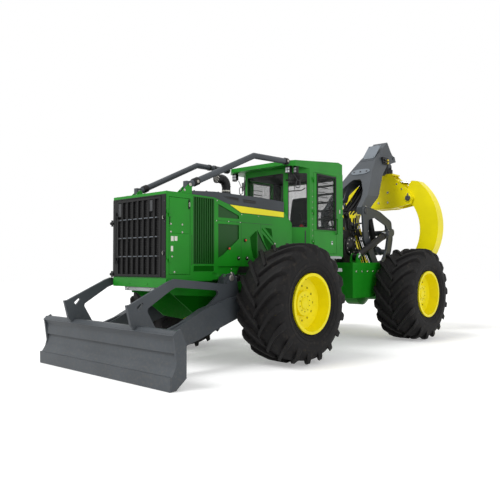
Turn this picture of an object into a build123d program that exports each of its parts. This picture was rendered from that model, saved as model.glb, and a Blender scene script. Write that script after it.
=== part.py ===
"""Articulated grapple skidder, in millimetres.

X points to the machine's left, Y to its rear and Z up. Every size below is taken from the
front axle's centre on the ground, and the finished pieces are moved so that the origin lies
on the ground under the middle of the whole machine.
"""

from build123d import *
import math
import os

# Running clearances
RUN = 0.3
LAP = 0.5

# Wheels
WHEELBASE = 3700
TRACK_X = 1240
TYRE_R = 870
TYRE_W = 775
TYRE_SHOULDER = 95
RIM_R = 406
FLANGE_R = 434
FLANGE_W = 720
RIM_WALL = 14
DISC_X = 120
DISC_T = 40
HUB_R = 190
HUB_REACH = 215
WHEEL_BOLT_PCD = 500
WHEEL_BOLT_R = 13
WHEEL_BOLTS = 12

# Axles
SPINDLE_R = 100
SPINDLE_END_X = 1230
AXLE_TUBE_R = 130
AXLE_BOWL_R = 265
AXLE_BOWL_HALF = 150
TRUNNION_R = 105
TRUNNION_HALF = 330

# Front frame
RAIL_X = 345
RAIL_T = 45
RAIL_TOP = 1300
RAIL_BOTTOM = 1030
FRAME_FRONT_Y = -1700
FRAME_REAR_Y = 1480
TIE_BORE = (-1590, 1080)
TIE_BORE_R = 28
HITCH_Y = 1900
HITCH_TOP_Z = 1190
HITCH_LOW_Z = 640
HITCH_T = 60
HITCH_R = 135
HITCH_PIN_R = 60
STEER_DEG = 45

# Rear frame
REAR_HALF = 800
REAR_FRONT_Y = 2300
REAR_END_Y = 3980
REAR_TOP = 1465
REAR_BOTTOM = 820
REAR_WALL = 40
AXLE_NOTCH_Z = 1030
TOW_BORE = (0, 4135)
TOW_BORE_R = 32
TOW_Z = (1110, 1150)

# Nose, hood and engine panels
HOOD_HALF = 595
NOSE_Y = -1840
NOSE_REAR_Y = -1395
NOSE_TOP = 2390
NOSE_BOTTOM = 1120
SHEET = 25
GRILLE_HALF = 505
GRILLE_LOW = 1255
GRILLE_TOP = 2335
SIDE_DOOR_LOW = 1290
SIDE_DOOR_TOP = 2320
PANEL_LOW = 1400
PANEL_END_Y = 790
HOOD_END_Y = 586
HOOD_TOP = 2460
PIPE = (300, -440, 2460.3, 2715, -650)
PIPE_R = 65

# Cab
CAB_FRONT_Y = 800
CAB_FRONT_HALF = 450
CAB_SIDE_Y = 1080
CAB_HALF = 750
CAB_REAR_Y = 2060
CAB_FLOOR = 1560
CAB_TOP = 3030
CAB_WALL = 50
SILL_Z = 2045
WINDOW_TOP = 2950
DOOR_FRONT_Y = 1180
DOOR_REAR_Y = 1862
DOOR_LOW = 1610
DOOR_TOP = 2985
GLASS = 8
ROOF_FRONT_Y = 600
ROOF_REAR_Y = 2230
ROOF_PEAK_Y = 1950
ROOF_HALF = 735
ROOF_PEAK_Z = 3240

# Door hinges
KNUCKLE_R = 12
HINGE_PIN_R = 6
LEAF = 44
CAB_HINGE = (CAB_HALF + KNUCKLE_R, DOOR_FRONT_Y)
CAB_HINGE_LEVELS = (1800, 2300, 2850)
NOSE_HINGE = (HOOD_HALF + KNUCKLE_R, NOSE_Y + 47)
NOSE_HINGE_LEVELS = (1500, 2100)
GRILLE_HINGE = (-GRILLE_HALF, NOSE_Y - 15 - KNUCKLE_R)
GRILLE_HINGE_LEVELS = (1480, 2120)

# Blade
BLADE_HALF = 1470
BLADE_EDGE_Y = -2490
BLADE_GROUND = 5
BLADE_TOP = 696
BLADE_BACK_Y = -2247
BLADE_PLATE = 35
ARM_IN_X = 695
ARM_OUT_X = 735
BEAM_IN_X = 660
BEAM_OUT_X = 785
BLADE_PIVOT = (-520, 860)
BLADE_PIN_R = 60
HORN_Y = -2551
LIFT_EYE = (-770, 1235)
LIFT_BASE = (210, 1215)
LIFT_X = 636

# Steering rams, in plan: X, Y
STEER_BASE = (260, 1150)
STEER_EYE = (200, 2000)
STEER_Z = 900

# Arch and boom, in the side view: Y, Z
ARCH_OUT_X = 500
ARCH_T = 40
ARCH_PIVOT = (3740, 1250)
ARCH_PIN_R = 65
ARCH_RAM_X = 585
ARCH_RAM_BASE = (2756, 1569)
ARCH_RAM_EYE = (3880, 2048)
ARCH_UPPER_TUBE = (4175, 2085)
ARCH_LOWER_TUBE = (4125, 1690)
ARCH_TUBE_R = 58
BOOM_PIVOT = (3255, 2485)
BOOM_PIN_R = 60
BOOM_OUT_X = 455
BOOM_RAM_X = 270
BOOM_RAM_BASE = (4000, 1740)
BOOM_RAM_EYE = (3640, 2790)
TIP_HALF = 170

# Grapple
GRAPPLE_Y = 5000
SWING_Z = 3790
SIDE_PIN_Z = 3645
HEAD_HALF_Y = 170
HEAD_PLATE = 30
TONG_PIVOT = (600, 2870)
TONG_EAR = (706, 3174)
TONG_HALF_Y = 130
TONG_PIN_R = 50
TONG_RAM_BASE = (-110, 3350)
TONG_RAM_Y = 72
TONG_EYE_HALF = 32
ROTOR_R = 130
ROTOR_TOP = 3560
HEAD_DECK_Z = 3445
HEAD_PEAK_Z = 3415

# Rams: barrel radius, rod radius, eye radius, travel inwards and outwards from rest
RAMS = {
    "lift": (46, 30, 52, 125, 55),
    "steer": (55, 32, 52, 180, 165),
    "arch": (66, 38, 66, 8, 385),
    "boom": (62, 36, 62, 155, 50),
    "tong": (56, 32, 56, 262, 70),
}
GLAND_GAP = 30

ORIGIN_Y = (HORN_Y + GRAPPLE_Y + HEAD_HALF_Y) / 2


def lift_out(axis, u, v, a):
    """The point at (u, v) in the plane across an axis, a along that axis."""
    return {"X": (a, u, v), "Y": (u, a, v), "Z": (u, v, a)}[axis]


def outline(axis, points, low, high, radius=0):
    """A plate with this outline, from low to high along an axis."""
    corners = [Vector(*lift_out(axis, u, v, low)) for u, v in points]
    if radius:
        wire = Wire(FilletPolyline(*corners, radius=radius, close=True).edges())
    else:
        wire = Wire.make_polygon(corners, close=True)
    reach = Vector(*lift_out(axis, 0, 0, high - low))
    return Solid.extrude(Face(wire), reach)


def disc(axis, centre, radius, low, high):
    """A round bar along an axis."""
    base = Vector(*lift_out(axis, *centre, low))
    direction = Vector(*lift_out(axis, 0, 0, 1))
    return Solid.make_cylinder(radius, high - low, Plane(origin=base, z_dir=direction))


def link(axis, p, q, radius, low, high):
    """A flat bar with round ends between two points."""
    run = Vector(q[0] - p[0], q[1] - p[1])
    side = Vector(-run.Y, run.X).normalized() * radius
    corners = [(p[0] + side.X, p[1] + side.Y), (q[0] + side.X, q[1] + side.Y),
               (q[0] - side.X, q[1] - side.Y), (p[0] - side.X, p[1] - side.Y)]
    bar = outline(axis, corners, low, high)
    return bar + disc(axis, p, radius, low, high) + disc(axis, q, radius, low, high)


def slab(x, y, z):
    """A block between two places on each axis."""
    size = [hi - lo for lo, hi in (x, y, z)]
    middle = [(hi + lo) / 2 for lo, hi in (x, y, z)]
    return Pos(*middle) * Box(*size)


def tube(start, end, radius):
    """A straight round bar between two points in space."""
    a, b = Vector(*start), Vector(*end)
    return Solid.make_cylinder(radius, (b - a).length, Plane(origin=a, z_dir=(b - a).normalized()))


def across(shape):
    """The same shape on the machine's other side."""
    return mirror(shape, about=Plane.YZ)


def both(shape):
    """A shape and its twin, as two solids or more in one piece."""
    return solids_of([shape, across(shape)])


def solids_of(shapes):
    """One piece of several solids."""
    found = [solid for shape in shapes for solid in shape.solids()]
    return Compound(children=found)


def hinges(at, levels, door_way, face):
    """A door's knuckles and its frame's, with pins, at some heights about one upright axis.

    door_way points along the closed door from the axis, face from the axis into the sheets.
    """
    x, y = at
    door, frame = [], []
    for z in levels:
        for made, low, high, sign in ((door, z - 42, z - RUN, 1), (frame, z, z + 42, -1)):
            knuckle = disc("Z", at, KNUCKLE_R, low, high)
            tip = (x + sign * door_way[0] * LEAF, y + sign * door_way[1] * LEAF)
            deep = (face[0] * (KNUCKLE_R + 1), face[1] * (KNUCKLE_R + 1))
            xs = sorted((x, tip[0], x + deep[0]))
            ys = sorted((y, tip[1], y + deep[1]))
            leaf = slab((xs[0], xs[-1]), (ys[0], ys[-1]), (low, high))
            made.append(knuckle + leaf)
        frame.append(disc("Z", at, HINGE_PIN_R, z - 45, z + 1))
    holes = [disc("Z", at, HINGE_PIN_R + RUN, z - 46, z - RUN + 0.1) for z in levels]
    door_set = door[0].fuse(*door[1:]).cut(*holes)
    return door_set, frame[0].fuse(*frame[1:])


def turned(profile, centre_y, centre_z):
    """A solid of revolution about a crosswise line, from (x, radius) points."""
    corners = [Vector(x, r, 0) for x, r in profile]
    face = Face(Wire.make_polygon(corners, close=True))
    spun = revolve(face, Axis.X, 360)
    return Pos(0, centre_y, centre_z) * spun


def ram(kind, axis, base, eye, middle, half):
    """A ram's barrel and rod in the plane across an axis; the rod's eye holds its own pin."""
    barrel_r, rod_r, eye_r, inward, outward = RAMS[kind]
    low, high = middle - half, middle + half
    run = Vector(eye[0] - base[0], eye[1] - base[1])
    length = run.length
    step = run.normalized()

    def point(distance):
        u, v = base[0] + step.X * distance, base[1] + step.Y * distance
        return lift_out(axis, u, v, middle)

    gland = length - inward - eye_r - GLAND_GAP
    start = eye_r * 1.1 + 10
    bottom = start + 20
    barrel = tube(point(start), point(gland), barrel_r)
    barrel += tube(point(eye_r * 0.7), point(start + 1), min(half, barrel_r))
    barrel += tube(point(gland - barrel_r * 0.6), point(gland), barrel_r + 8)
    barrel += disc(axis, base, eye_r, low, high)
    barrel -= tube(point(bottom), point(gland + 1), rod_r + RUN)
    barrel -= disc(axis, base, eye_r * 0.5 + RUN, low - 1, high + 1)
    rod = tube(point(bottom + inward + 8), point(length), rod_r)
    rod += disc(axis, eye, eye_r, low, high)
    return barrel, rod


def fork(kind, axis, at, root, middle, half, plate=25):
    """Two plates beside a ram's base eye, with the pin through it."""
    eye_r = RAMS[kind][2]
    inner = half + LAP
    pair = [link(axis, at, root, eye_r * 1.1, middle + inner, middle + inner + plate),
            link(axis, at, root, eye_r * 1.1, middle - inner - plate, middle - inner)]
    pin = disc(axis, at, eye_r * 0.5, middle - inner - plate, middle + inner + plate)
    return pair[0] + pair[1] + pin


def open_fork(kind, axis, at, root, middle, half, plate=25):
    """Two plates beside a rod's eye; the eye's pin ends between them."""
    eye_r = RAMS[kind][2]
    inner = half + LAP
    pair = [link(axis, at, root, eye_r * 1.1, middle + inner, middle + inner + plate),
            link(axis, at, root, eye_r * 1.1, middle - inner - plate, middle - inner)]
    return pair[0] + pair[1]


def tyre():
    """One tyre about its own centre plane, as a carcass that is open at its beads."""
    half, bead = TYRE_W / 2, FLANGE_W / 2 - 45
    outer = [(bead, RIM_R), (bead + 7, FLANGE_R + 6), (half - 22, FLANGE_R + 90), (half, (FLANGE_R + TYRE_R) / 2),
             (half - 30, TYRE_R - TYRE_SHOULDER), (half - 90, TYRE_R - 12), (120, TYRE_R)]
    inner = [(120, TYRE_R - 75), (half - 150, TYRE_R - 90), (half - 105, TYRE_R - TYRE_SHOULDER - 50),
             (half - 60, (FLANGE_R + TYRE_R) / 2), (half - 90, FLANGE_R + 90), (bead - 50, RIM_R)]
    left_outer = [(-x, r) for x, r in reversed(outer)]
    left_inner = [(-x, r) for x, r in reversed(inner)]
    return turned([*outer, *left_outer, *reversed(left_inner), *reversed(inner)], 0, TYRE_R)


def rim():
    """One rim with its dished disc and hub, the outer side towards +X."""
    edge = FLANGE_W / 2
    seat = RIM_R - RUN
    section = [(-edge, seat - RIM_WALL), (-edge, FLANGE_R), (-edge + 30, FLANGE_R), (-edge + 40, seat),
               (edge - 40, seat), (edge - 30, FLANGE_R), (edge, FLANGE_R), (edge, seat - RIM_WALL),
               (DISC_X + DISC_T + 30, seat - RIM_WALL - 30), (DISC_X + DISC_T, HUB_R + 60),
               (DISC_X + DISC_T, HUB_R), (HUB_REACH, HUB_R - 15), (HUB_REACH, 0),
               (SPINDLE_END_X - TRACK_X + 8, 0), (SPINDLE_END_X - TRACK_X + 8, SPINDLE_R + RUN),
               (-180, SPINDLE_R + RUN), (-180, HUB_R - 10), (DISC_X, HUB_R + 20),
               (DISC_X, seat - RIM_WALL - 40), (DISC_X - 60, seat - RIM_WALL)]
    wheel = turned(section, 0, TYRE_R)
    for i in range(WHEEL_BOLTS):
        angle = 2 * math.pi * i / WHEEL_BOLTS
        y = WHEEL_BOLT_PCD / 2 * math.cos(angle)
        z = TYRE_R + WHEEL_BOLT_PCD / 2 * math.sin(angle)
        wheel -= disc("X", (y, z), WHEEL_BOLT_R, DISC_X - 1, DISC_X + DISC_T + 1)
    return wheel


def wheels():
    """The four tyres and rims by their corner of the machine."""
    made = {}
    corners = [("fl", 1, 0), ("fr", -1, 0), ("rl", 1, WHEELBASE), ("rr", -1, WHEELBASE)]
    for name, side, y in corners:
        for kind, shape in (("tyre", tyre()), ("rim", rim())):
            placed = Pos(TRACK_X, y, 0) * shape
            made[f"{kind}_{name}"] = placed if side > 0 else across(placed)
    return made


def axle(y):
    """A drive axle: bowl, tubes and the spindles that the hubs turn on."""
    hub_face = TRACK_X - 180 - 10
    right = [(AXLE_BOWL_HALF, AXLE_BOWL_R), (AXLE_BOWL_HALF + 110, AXLE_TUBE_R + 20),
             (hub_face, AXLE_TUBE_R), (hub_face, SPINDLE_R), (SPINDLE_END_X, SPINDLE_R)]
    profile = [(SPINDLE_END_X, 0), *reversed(right), *[(-x, r) for x, r in right], (-SPINDLE_END_X, 0)]
    return turned(profile, y, TYRE_R)


def front_axle():
    """The front axle, with the trunnions that it rocks on."""
    trunnion = disc("Y", (0, TYRE_R), TRUNNION_R, -TRUNNION_HALF, TRUNNION_HALF)
    return axle(0) + trunnion


def rear_axle():
    """The rear axle, with the pads that bolt it under the rear frame."""
    built = axle(WHEELBASE)
    for x in (-480, 480):
        built += slab((x - 90, x + 90), (WHEELBASE - 160, WHEELBASE + 160), (TYRE_R, AXLE_NOTCH_Z))
    return built


def front_frame():
    """Rails, cross members, axle cradle, blade pins, ram lugs and the hitch's tongues."""
    rail = slab((RAIL_X - RAIL_T, RAIL_X), (FRAME_FRONT_Y, FRAME_REAR_Y), (RAIL_BOTTOM, RAIL_TOP))
    frame = rail + across(rail)
    frame -= disc("X", TIE_BORE, TIE_BORE_R, -RAIL_X - 1, RAIL_X + 1)
    cross = [(FRAME_FRONT_Y, NOSE_BOTTOM - 30), (-900, RAIL_BOTTOM), (450, RAIL_BOTTOM), (1000, RAIL_BOTTOM)]
    for y, low in cross:
        frame += slab((-RAIL_X + 5, RAIL_X - 5), (y, y + 50), (max(low, RAIL_BOTTOM), RAIL_TOP - 40))
    tail = [(-RAIL_X, HITCH_LOW_Z - 20), (RAIL_X, HITCH_LOW_Z - 20), (RAIL_X, RAIL_TOP), (-RAIL_X, RAIL_TOP)]
    plate = outline("Y", tail, FRAME_REAR_Y, FRAME_REAR_Y + 50)
    port = slab((110, RAIL_X + 1), (FRAME_REAR_Y - 1, FRAME_REAR_Y + 51), (STEER_Z - 82, STEER_Z + 82))
    frame += plate - port - across(port)
    for y in (-TRUNNION_HALF, TRUNNION_HALF - 60):
        hanger = outline("Y", [(-RAIL_X, RAIL_BOTTOM + 60), (-170, TYRE_R - 90), (170, TYRE_R - 90),
                               (RAIL_X, RAIL_BOTTOM + 60)], y, y + 60)
        frame += hanger - disc("Y", (0, TYRE_R), TRUNNION_R + RUN, y - 1, y + 61)
    for z in (HITCH_TOP_Z, HITCH_LOW_Z):
        tongue = outline("Z", [(-260, FRAME_REAR_Y + 40), (260, FRAME_REAR_Y + 40), (HITCH_R, HITCH_Y),
                               (-HITCH_R, HITCH_Y)], z, z + HITCH_T)
        tongue += disc("Z", (0, HITCH_Y), HITCH_R, z, z + HITCH_T)
        frame += tongue - disc("Z", (0, HITCH_Y), HITCH_PIN_R + RUN, z - 1, z + HITCH_T + 1)
    y, z = BLADE_PIVOT
    frame += disc("X", BLADE_PIVOT, BLADE_PIN_R + 25, -BEAM_IN_X + LAP, BEAM_IN_X - LAP)
    frame += disc("X", BLADE_PIVOT, BLADE_PIN_R, -BEAM_OUT_X - 12, BEAM_OUT_X + 12)
    for side in (1, -1):
        x = side * (RAIL_X - RAIL_T / 2)
        frame += link("X", BLADE_PIVOT, (y + 40, RAIL_BOTTOM + 60), BLADE_PIN_R + 30,
                      x - RAIL_T / 2, x + RAIL_T / 2)
    lug = fork("lift", "X", LIFT_BASE, (LIFT_BASE[0] + 40, RAIL_BOTTOM + 90), LIFT_X, 34)
    arm = slab((RAIL_X - 5, LIFT_X + 60), (LIFT_BASE[0], LIFT_BASE[0] + 90), (RAIL_BOTTOM + 40, RAIL_BOTTOM + 130))
    frame += lug + arm + across(lug + arm)
    steer = fork("steer", "Z", STEER_BASE, (STEER_BASE[0] + 30, STEER_BASE[1] - 130), STEER_Z, 40)
    post = slab((RAIL_X - RAIL_T - 60, RAIL_X), (STEER_BASE[1] - 220, STEER_BASE[1] - 80),
                (STEER_Z - 66, RAIL_BOTTOM + 20))
    return frame + steer + post + across(steer + post)


def rear_frame():
    """The rear box, its fork round the front tongues and the arch's pivots."""
    side = [(REAR_FRONT_Y, REAR_BOTTOM), (WHEELBASE - 640, REAR_BOTTOM), (WHEELBASE - 460, AXLE_NOTCH_Z),
            (REAR_END_Y, AXLE_NOTCH_Z), (REAR_END_Y + 90, AXLE_NOTCH_Z + 170), (REAR_END_Y, REAR_TOP),
            (REAR_FRONT_Y, REAR_TOP)]
    box = outline("X", side, -REAR_HALF, REAR_HALF)
    inner = [(REAR_FRONT_Y + REAR_WALL, REAR_BOTTOM - 1), (WHEELBASE - 680, REAR_BOTTOM - 1),
             (WHEELBASE - 480, AXLE_NOTCH_Z - 1), (REAR_END_Y - REAR_WALL, AXLE_NOTCH_Z - 1),
             (REAR_END_Y + 40, AXLE_NOTCH_Z + 160), (REAR_END_Y - REAR_WALL, REAR_TOP - REAR_WALL),
             (REAR_FRONT_Y + REAR_WALL, REAR_TOP - REAR_WALL)]
    box -= outline("X", inner, -REAR_HALF + REAR_WALL, REAR_HALF - REAR_WALL)
    for x in (-480, 480):
        box += slab((x - 100, x + 100), (WHEELBASE - 460, REAR_END_Y - REAR_WALL), (AXLE_NOTCH_Z, AXLE_NOTCH_Z + 60))
    frame = box
    for z in (HITCH_TOP_Z, HITCH_LOW_Z):
        for low, high in ((z - 50 - LAP, z - LAP), (z + HITCH_T + LAP, z + HITCH_T + 50 + LAP)):
            ear = outline("Z", [(-HITCH_R, HITCH_Y), (HITCH_R, HITCH_Y), (330, REAR_FRONT_Y + 20),
                                (-330, REAR_FRONT_Y + 20)], low, high)
            frame += ear + disc("Z", (0, HITCH_Y), HITCH_R, low, high)
        frame += disc("Z", (0, HITCH_Y), HITCH_PIN_R, z - 62, z + HITCH_T + 62)
    web = outline("Y", [(-330, HITCH_LOW_Z - 50), (330, HITCH_LOW_Z - 50), (330, REAR_BOTTOM + 50),
                        (-330, REAR_BOTTOM + 50)], REAR_FRONT_Y, REAR_FRONT_Y + REAR_WALL)
    frame += web
    y, z = ARCH_PIVOT
    wells = slab((ARCH_OUT_X - ARCH_T - 6, ARCH_OUT_X + 6), (y - 290, y + 200), (AXLE_NOTCH_Z + 61, REAR_TOP + 1))
    wells += slab((ARCH_OUT_X - 116, ARCH_OUT_X + 6), (y + 190, REAR_END_Y + 100), (AXLE_NOTCH_Z + 61, REAR_TOP + 1))
    frame -= wells + across(wells)
    for x in (ARCH_OUT_X + LAP, ARCH_OUT_X - ARCH_T - LAP - 30):
        bearing = outline("X", [(y - 130, AXLE_NOTCH_Z + 55), (y + 130, AXLE_NOTCH_Z + 55), (y + 130, REAR_TOP - 25),
                                (y - 130, REAR_TOP - 25)], x, x + 30)
        frame += bearing + across(bearing)
    pin = disc("X", ARCH_PIVOT, ARCH_PIN_R, ARCH_OUT_X - ARCH_T - 45, ARCH_OUT_X + 45)
    frame += pin + across(pin)
    lug = fork("arch", "X", ARCH_RAM_BASE, (ARCH_RAM_BASE[0] - 30, REAR_TOP + 20), ARCH_RAM_X, 50)
    tow = outline("Z", [(-120, REAR_END_Y - 20), (120, REAR_END_Y - 20), (90, TOW_BORE[1] + 65),
                        (-90, TOW_BORE[1] + 65)], *TOW_Z)
    frame += tow - disc("Z", TOW_BORE, TOW_BORE_R, TOW_Z[0] - 1, TOW_Z[1] + 1)
    eye = open_fork("steer", "Z", STEER_EYE, (STEER_EYE[0] - 40, REAR_FRONT_Y + 10), STEER_Z, 40)
    return frame + lug + across(lug) + eye + across(eye)


def winch():
    """The winch on the rear deck: two cheeks, a drum and a gear case."""
    y0, y1 = REAR_FRONT_Y + 320, REAR_FRONT_Y + 860
    base = REAR_TOP + RUN
    cheek_line = [(y0, base), (y1, base), (y1 - 40, base + 480), (y1 - 180, base + 640), (y0 + 60, base + 640),
                  (y0, base + 420)]
    cheek = outline("X", cheek_line, 240, 280)
    drum = disc("X", ((y0 + y1) / 2, base + 320), 120, -250, 250)
    flange = disc("X", ((y0 + y1) / 2, base + 320), 210, 200, 240)
    case = outline("X", [(y0 + 40, base), (y1 - 60, base), (y1 - 60, base + 380), (y0 + 40, base + 460)], 280, 380)
    tie = disc("X", (y0 + 110, base + 570), 30, -250, 250)
    return cheek + across(cheek) + drum + flange + across(flange) + case + tie


def nose():
    """The green box round the cooler: posts, top, bottom bar and open front."""
    box = slab((-HOOD_HALF, HOOD_HALF), (NOSE_Y, NOSE_REAR_Y), (NOSE_BOTTOM, NOSE_TOP))
    room = slab((-HOOD_HALF + SHEET, HOOD_HALF - SHEET), (NOSE_Y + SHEET, NOSE_REAR_Y + 1),
                (NOSE_BOTTOM + SHEET, NOSE_TOP - SHEET))
    front = slab((-GRILLE_HALF, GRILLE_HALF), (NOSE_Y - 1, NOSE_Y + SHEET + 1), (GRILLE_LOW, GRILLE_TOP))
    side = slab((HOOD_HALF - SHEET - 1, HOOD_HALF + 1), (NOSE_Y + 45, NOSE_REAR_Y - 30),
                (SIDE_DOOR_LOW, SIDE_DOOR_TOP))
    rails = slab((-RAIL_X - 2, RAIL_X + 2), (FRAME_FRONT_Y - 2, NOSE_REAR_Y + 2), (NOSE_BOTTOM - 1, RAIL_TOP))
    box = box - room - front - side - across(side) - rails
    fixed = hinges(NOSE_HINGE, NOSE_HINGE_LEVELS, (0, 1), (-1, 0))[1]
    grille = hinges(GRILLE_HINGE, GRILLE_HINGE_LEVELS, (1, 0), (0, 1))[1]
    seat = slab((-GRILLE_HALF - LEAF, -GRILLE_HALF - KNUCKLE_R - 2), (NOSE_Y - 16, NOSE_Y + 5), (GRILLE_LOW + 180, GRILLE_TOP - 150))
    return box + fixed + across(fixed) + grille + seat


def grille_door():
    """The black grille: a frame, upright ribs and cross bars, hinged on the right."""
    gap = 6
    low, high = GRILLE_LOW + gap, GRILLE_TOP - gap
    half = GRILLE_HALF - gap
    y0, y1 = NOSE_Y - 30, NOSE_Y + 15
    door = slab((-half, half), (y0 + 15, y1), (low, high))
    rows, ribs = 4, 8
    pitch_z = (high - low - 40) / rows
    pitch_x = (2 * half - 40) / ribs
    for row in range(rows):
        for rib in range(ribs):
            x = -half + 20 + rib * pitch_x
            z = low + 20 + row * pitch_z
            door -= slab((x + 16, x + pitch_x - 16), (y0, y1 - 8), (z + 12, z + pitch_z - 12))
    return door + hinges(GRILLE_HINGE, GRILLE_HINGE_LEVELS, (1, 0), (0, 1))[0]


def side_door():
    """The left nose door, hinged at its front edge."""
    gap = 6
    sheet = slab((HOOD_HALF - SHEET, HOOD_HALF), (NOSE_Y + 45 + gap, NOSE_REAR_Y - 30 - gap),
                 (SIDE_DOOR_LOW + gap, SIDE_DOOR_TOP - gap))
    return sheet + hinges(NOSE_HINGE, NOSE_HINGE_LEVELS, (0, 1), (-1, 0))[0]


def cooler():
    """The radiator core behind the grille."""
    return slab((-GRILLE_HALF + 20, GRILLE_HALF - 20), (NOSE_REAR_Y - 130, NOSE_REAR_Y - 10),
                (RAIL_TOP, NOSE_TOP - SHEET - RUN))


def engine():
    """The engine and its gear case, as one plain block between the rails."""
    half = RAIL_X - RAIL_T - RUN
    return slab((-half, half), (-1150, 350), (RAIL_TOP - 40 + RUN, 2150))


def side_panels():
    """The engine's side sheets, with the louvred panel, recesses and posts."""
    top = [(NOSE_REAR_Y, 2384), (-966, 2375), (-690, 2304), (HOOD_END_Y, 2278), (PANEL_END_Y, 2100)]
    line = [(NOSE_REAR_Y, 1200), (-1010, 1200), (-1010, 1310), (-900, 1310), (-900, PANEL_LOW), (PANEL_END_Y, PANEL_LOW), *reversed(top)]
    sheet = outline("X", line, HOOD_HALF - SHEET, HOOD_HALF)
    recess = [
        [(-895, 2100), (-470, 2100), (-470, 2148), (-895, 2290)],
        [(-895, 1520), (-800, 1566), (-470, 1804), (-470, 2010), (-895, 2010)],
        [(-60, 1420), (250, 1420), (250, 1560), (90, 1760), (-60, 1960)],
    ]
    for points in recess:
        sheet -= outline("X", points, HOOD_HALF - 12, HOOD_HALF + 1)
    ribs = 9
    y0, y1, z0, z1 = -1360, -985, 1440, 2350
    pitch = (y1 - y0) / ribs
    for i in range(ribs):
        y = y0 + i * pitch
        sheet -= slab((HOOD_HALF - 14, HOOD_HALF + 1), (y + 8, y + pitch - 8), (z0, z1))
    return sheet + across(sheet)


def hood_top():
    """The dark hood over the engine, lower towards its rear."""
    side = [(NOSE_REAR_Y, 2386), (-966, 2377), (-690, 2306), (HOOD_END_Y, 2280), (HOOD_END_Y, 2440),
            (0, HOOD_TOP), (-966, HOOD_TOP), (NOSE_REAR_Y, 2432)]
    body = outline("X", side, -HOOD_HALF, HOOD_HALF)
    room = [(NOSE_REAR_Y - 1, 2370), (-966, 2360), (-690, 2290), (HOOD_END_Y - SHEET, 2260),
            (HOOD_END_Y - SHEET, 2415), (0, HOOD_TOP - SHEET), (-966, HOOD_TOP - SHEET), (NOSE_REAR_Y - 1, 2407)]
    body -= outline("X", room, -HOOD_HALF + SHEET, HOOD_HALF - SHEET)
    cowl_line = [(HOOD_END_Y + RUN, 2255), (CAB_FRONT_Y - 3, 2075), (CAB_FRONT_Y - 3, 2095), (HOOD_END_Y + RUN, 2275)]
    inside = HOOD_HALF - SHEET - RUN
    cowl = outline("X", cowl_line, -inside, inside)
    return solids_of([body, cowl])


def stack():
    """The black pipe that rises from the hood and turns forward."""
    x, y, foot, crown, mouth = PIPE
    route = FilletPolyline((x, y, foot), (x, y, crown), (x, mouth, crown), radius=105)
    start = Plane(origin=(x, y, foot), z_dir=(0, 0, 1))
    pipe = sweep(start * Circle(PIPE_R), route) - sweep(start * Circle(PIPE_R - 8), route)
    collar = disc("Z", (x, y), PIPE_R + 22, foot, foot + 40) - disc("Z", (x, y), PIPE_R - 8, foot - 1, foot + 41)
    return pipe + collar


def cab_plan(inset=0):
    """The cab's outline in plan, with its front corners cut off."""
    slope = inset * 0.42
    right = [(CAB_FRONT_HALF - slope, CAB_FRONT_Y + inset), (CAB_HALF - inset, CAB_SIDE_Y + slope),
             (CAB_HALF - inset, CAB_REAR_Y - inset)]
    return [*right, *[(-x, y) for x, y in reversed(right)]]


def corner_cut(low, high, inset, out, back):
    """A block through the slanted front corner, inset from both its posts."""
    a = Vector(CAB_FRONT_HALF, CAB_FRONT_Y)
    b = Vector(CAB_HALF, CAB_SIDE_Y)
    along = (b - a).normalized()
    away = Vector(along.Y, -along.X)
    p, q = a + along * inset, b - along * inset
    corners = [p + away * out, q + away * out, q - away * back, p - away * back]
    return outline("Z", [(c.X, c.Y) for c in corners], low, high)


def cab_shell():
    """The cab's floor, panels and posts, open at its doors and windows."""
    shell = outline("Z", cab_plan(), CAB_FLOOR, CAB_TOP)
    shell -= outline("Z", cab_plan(CAB_WALL), CAB_FLOOR + CAB_WALL, CAB_TOP - CAB_WALL)
    post = 45
    front = slab((-CAB_FRONT_HALF + post, CAB_FRONT_HALF - post), (CAB_FRONT_Y - 1, CAB_FRONT_Y + CAB_WALL + 1),
                 (SILL_Z + 60, WINDOW_TOP))
    corner = corner_cut(SILL_Z, WINDOW_TOP, post, 2, CAB_WALL + 12)
    door = slab((CAB_HALF - CAB_WALL - 1, CAB_HALF + 1), (DOOR_FRONT_Y, DOOR_REAR_Y), (DOOR_LOW, DOOR_TOP))
    rear = slab((-CAB_HALF + 120, CAB_HALF - 120), (CAB_REAR_Y - CAB_WALL - 1, CAB_REAR_Y + 1),
                (SILL_Z - 40, WINDOW_TOP))
    shell -= front + rear
    for cut in (corner, door):
        shell -= cut + across(cut)
    fixed = hinges(CAB_HINGE, CAB_HINGE_LEVELS, (0, 1), (-1, 0))[1]
    return shell + fixed + across(fixed)


def cab_glass():
    """The fixed panes, set in the middle of the posts."""
    mid = CAB_WALL / 2
    post = 45
    front = slab((-CAB_FRONT_HALF + post + RUN, CAB_FRONT_HALF - post - RUN),
                 (CAB_FRONT_Y + mid, CAB_FRONT_Y + mid + GLASS), (SILL_Z + 60 + RUN, WINDOW_TOP - RUN))
    corner = corner_cut(SILL_Z + RUN, WINDOW_TOP - RUN, post + RUN, -mid + GLASS, mid)
    rear = slab((-CAB_HALF + 120 + RUN, CAB_HALF - 120 - RUN),
                (CAB_REAR_Y - mid - GLASS, CAB_REAR_Y - mid), (SILL_Z - 40 + RUN, WINDOW_TOP - RUN))
    return solids_of([front, corner, across(corner), rear])


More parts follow.
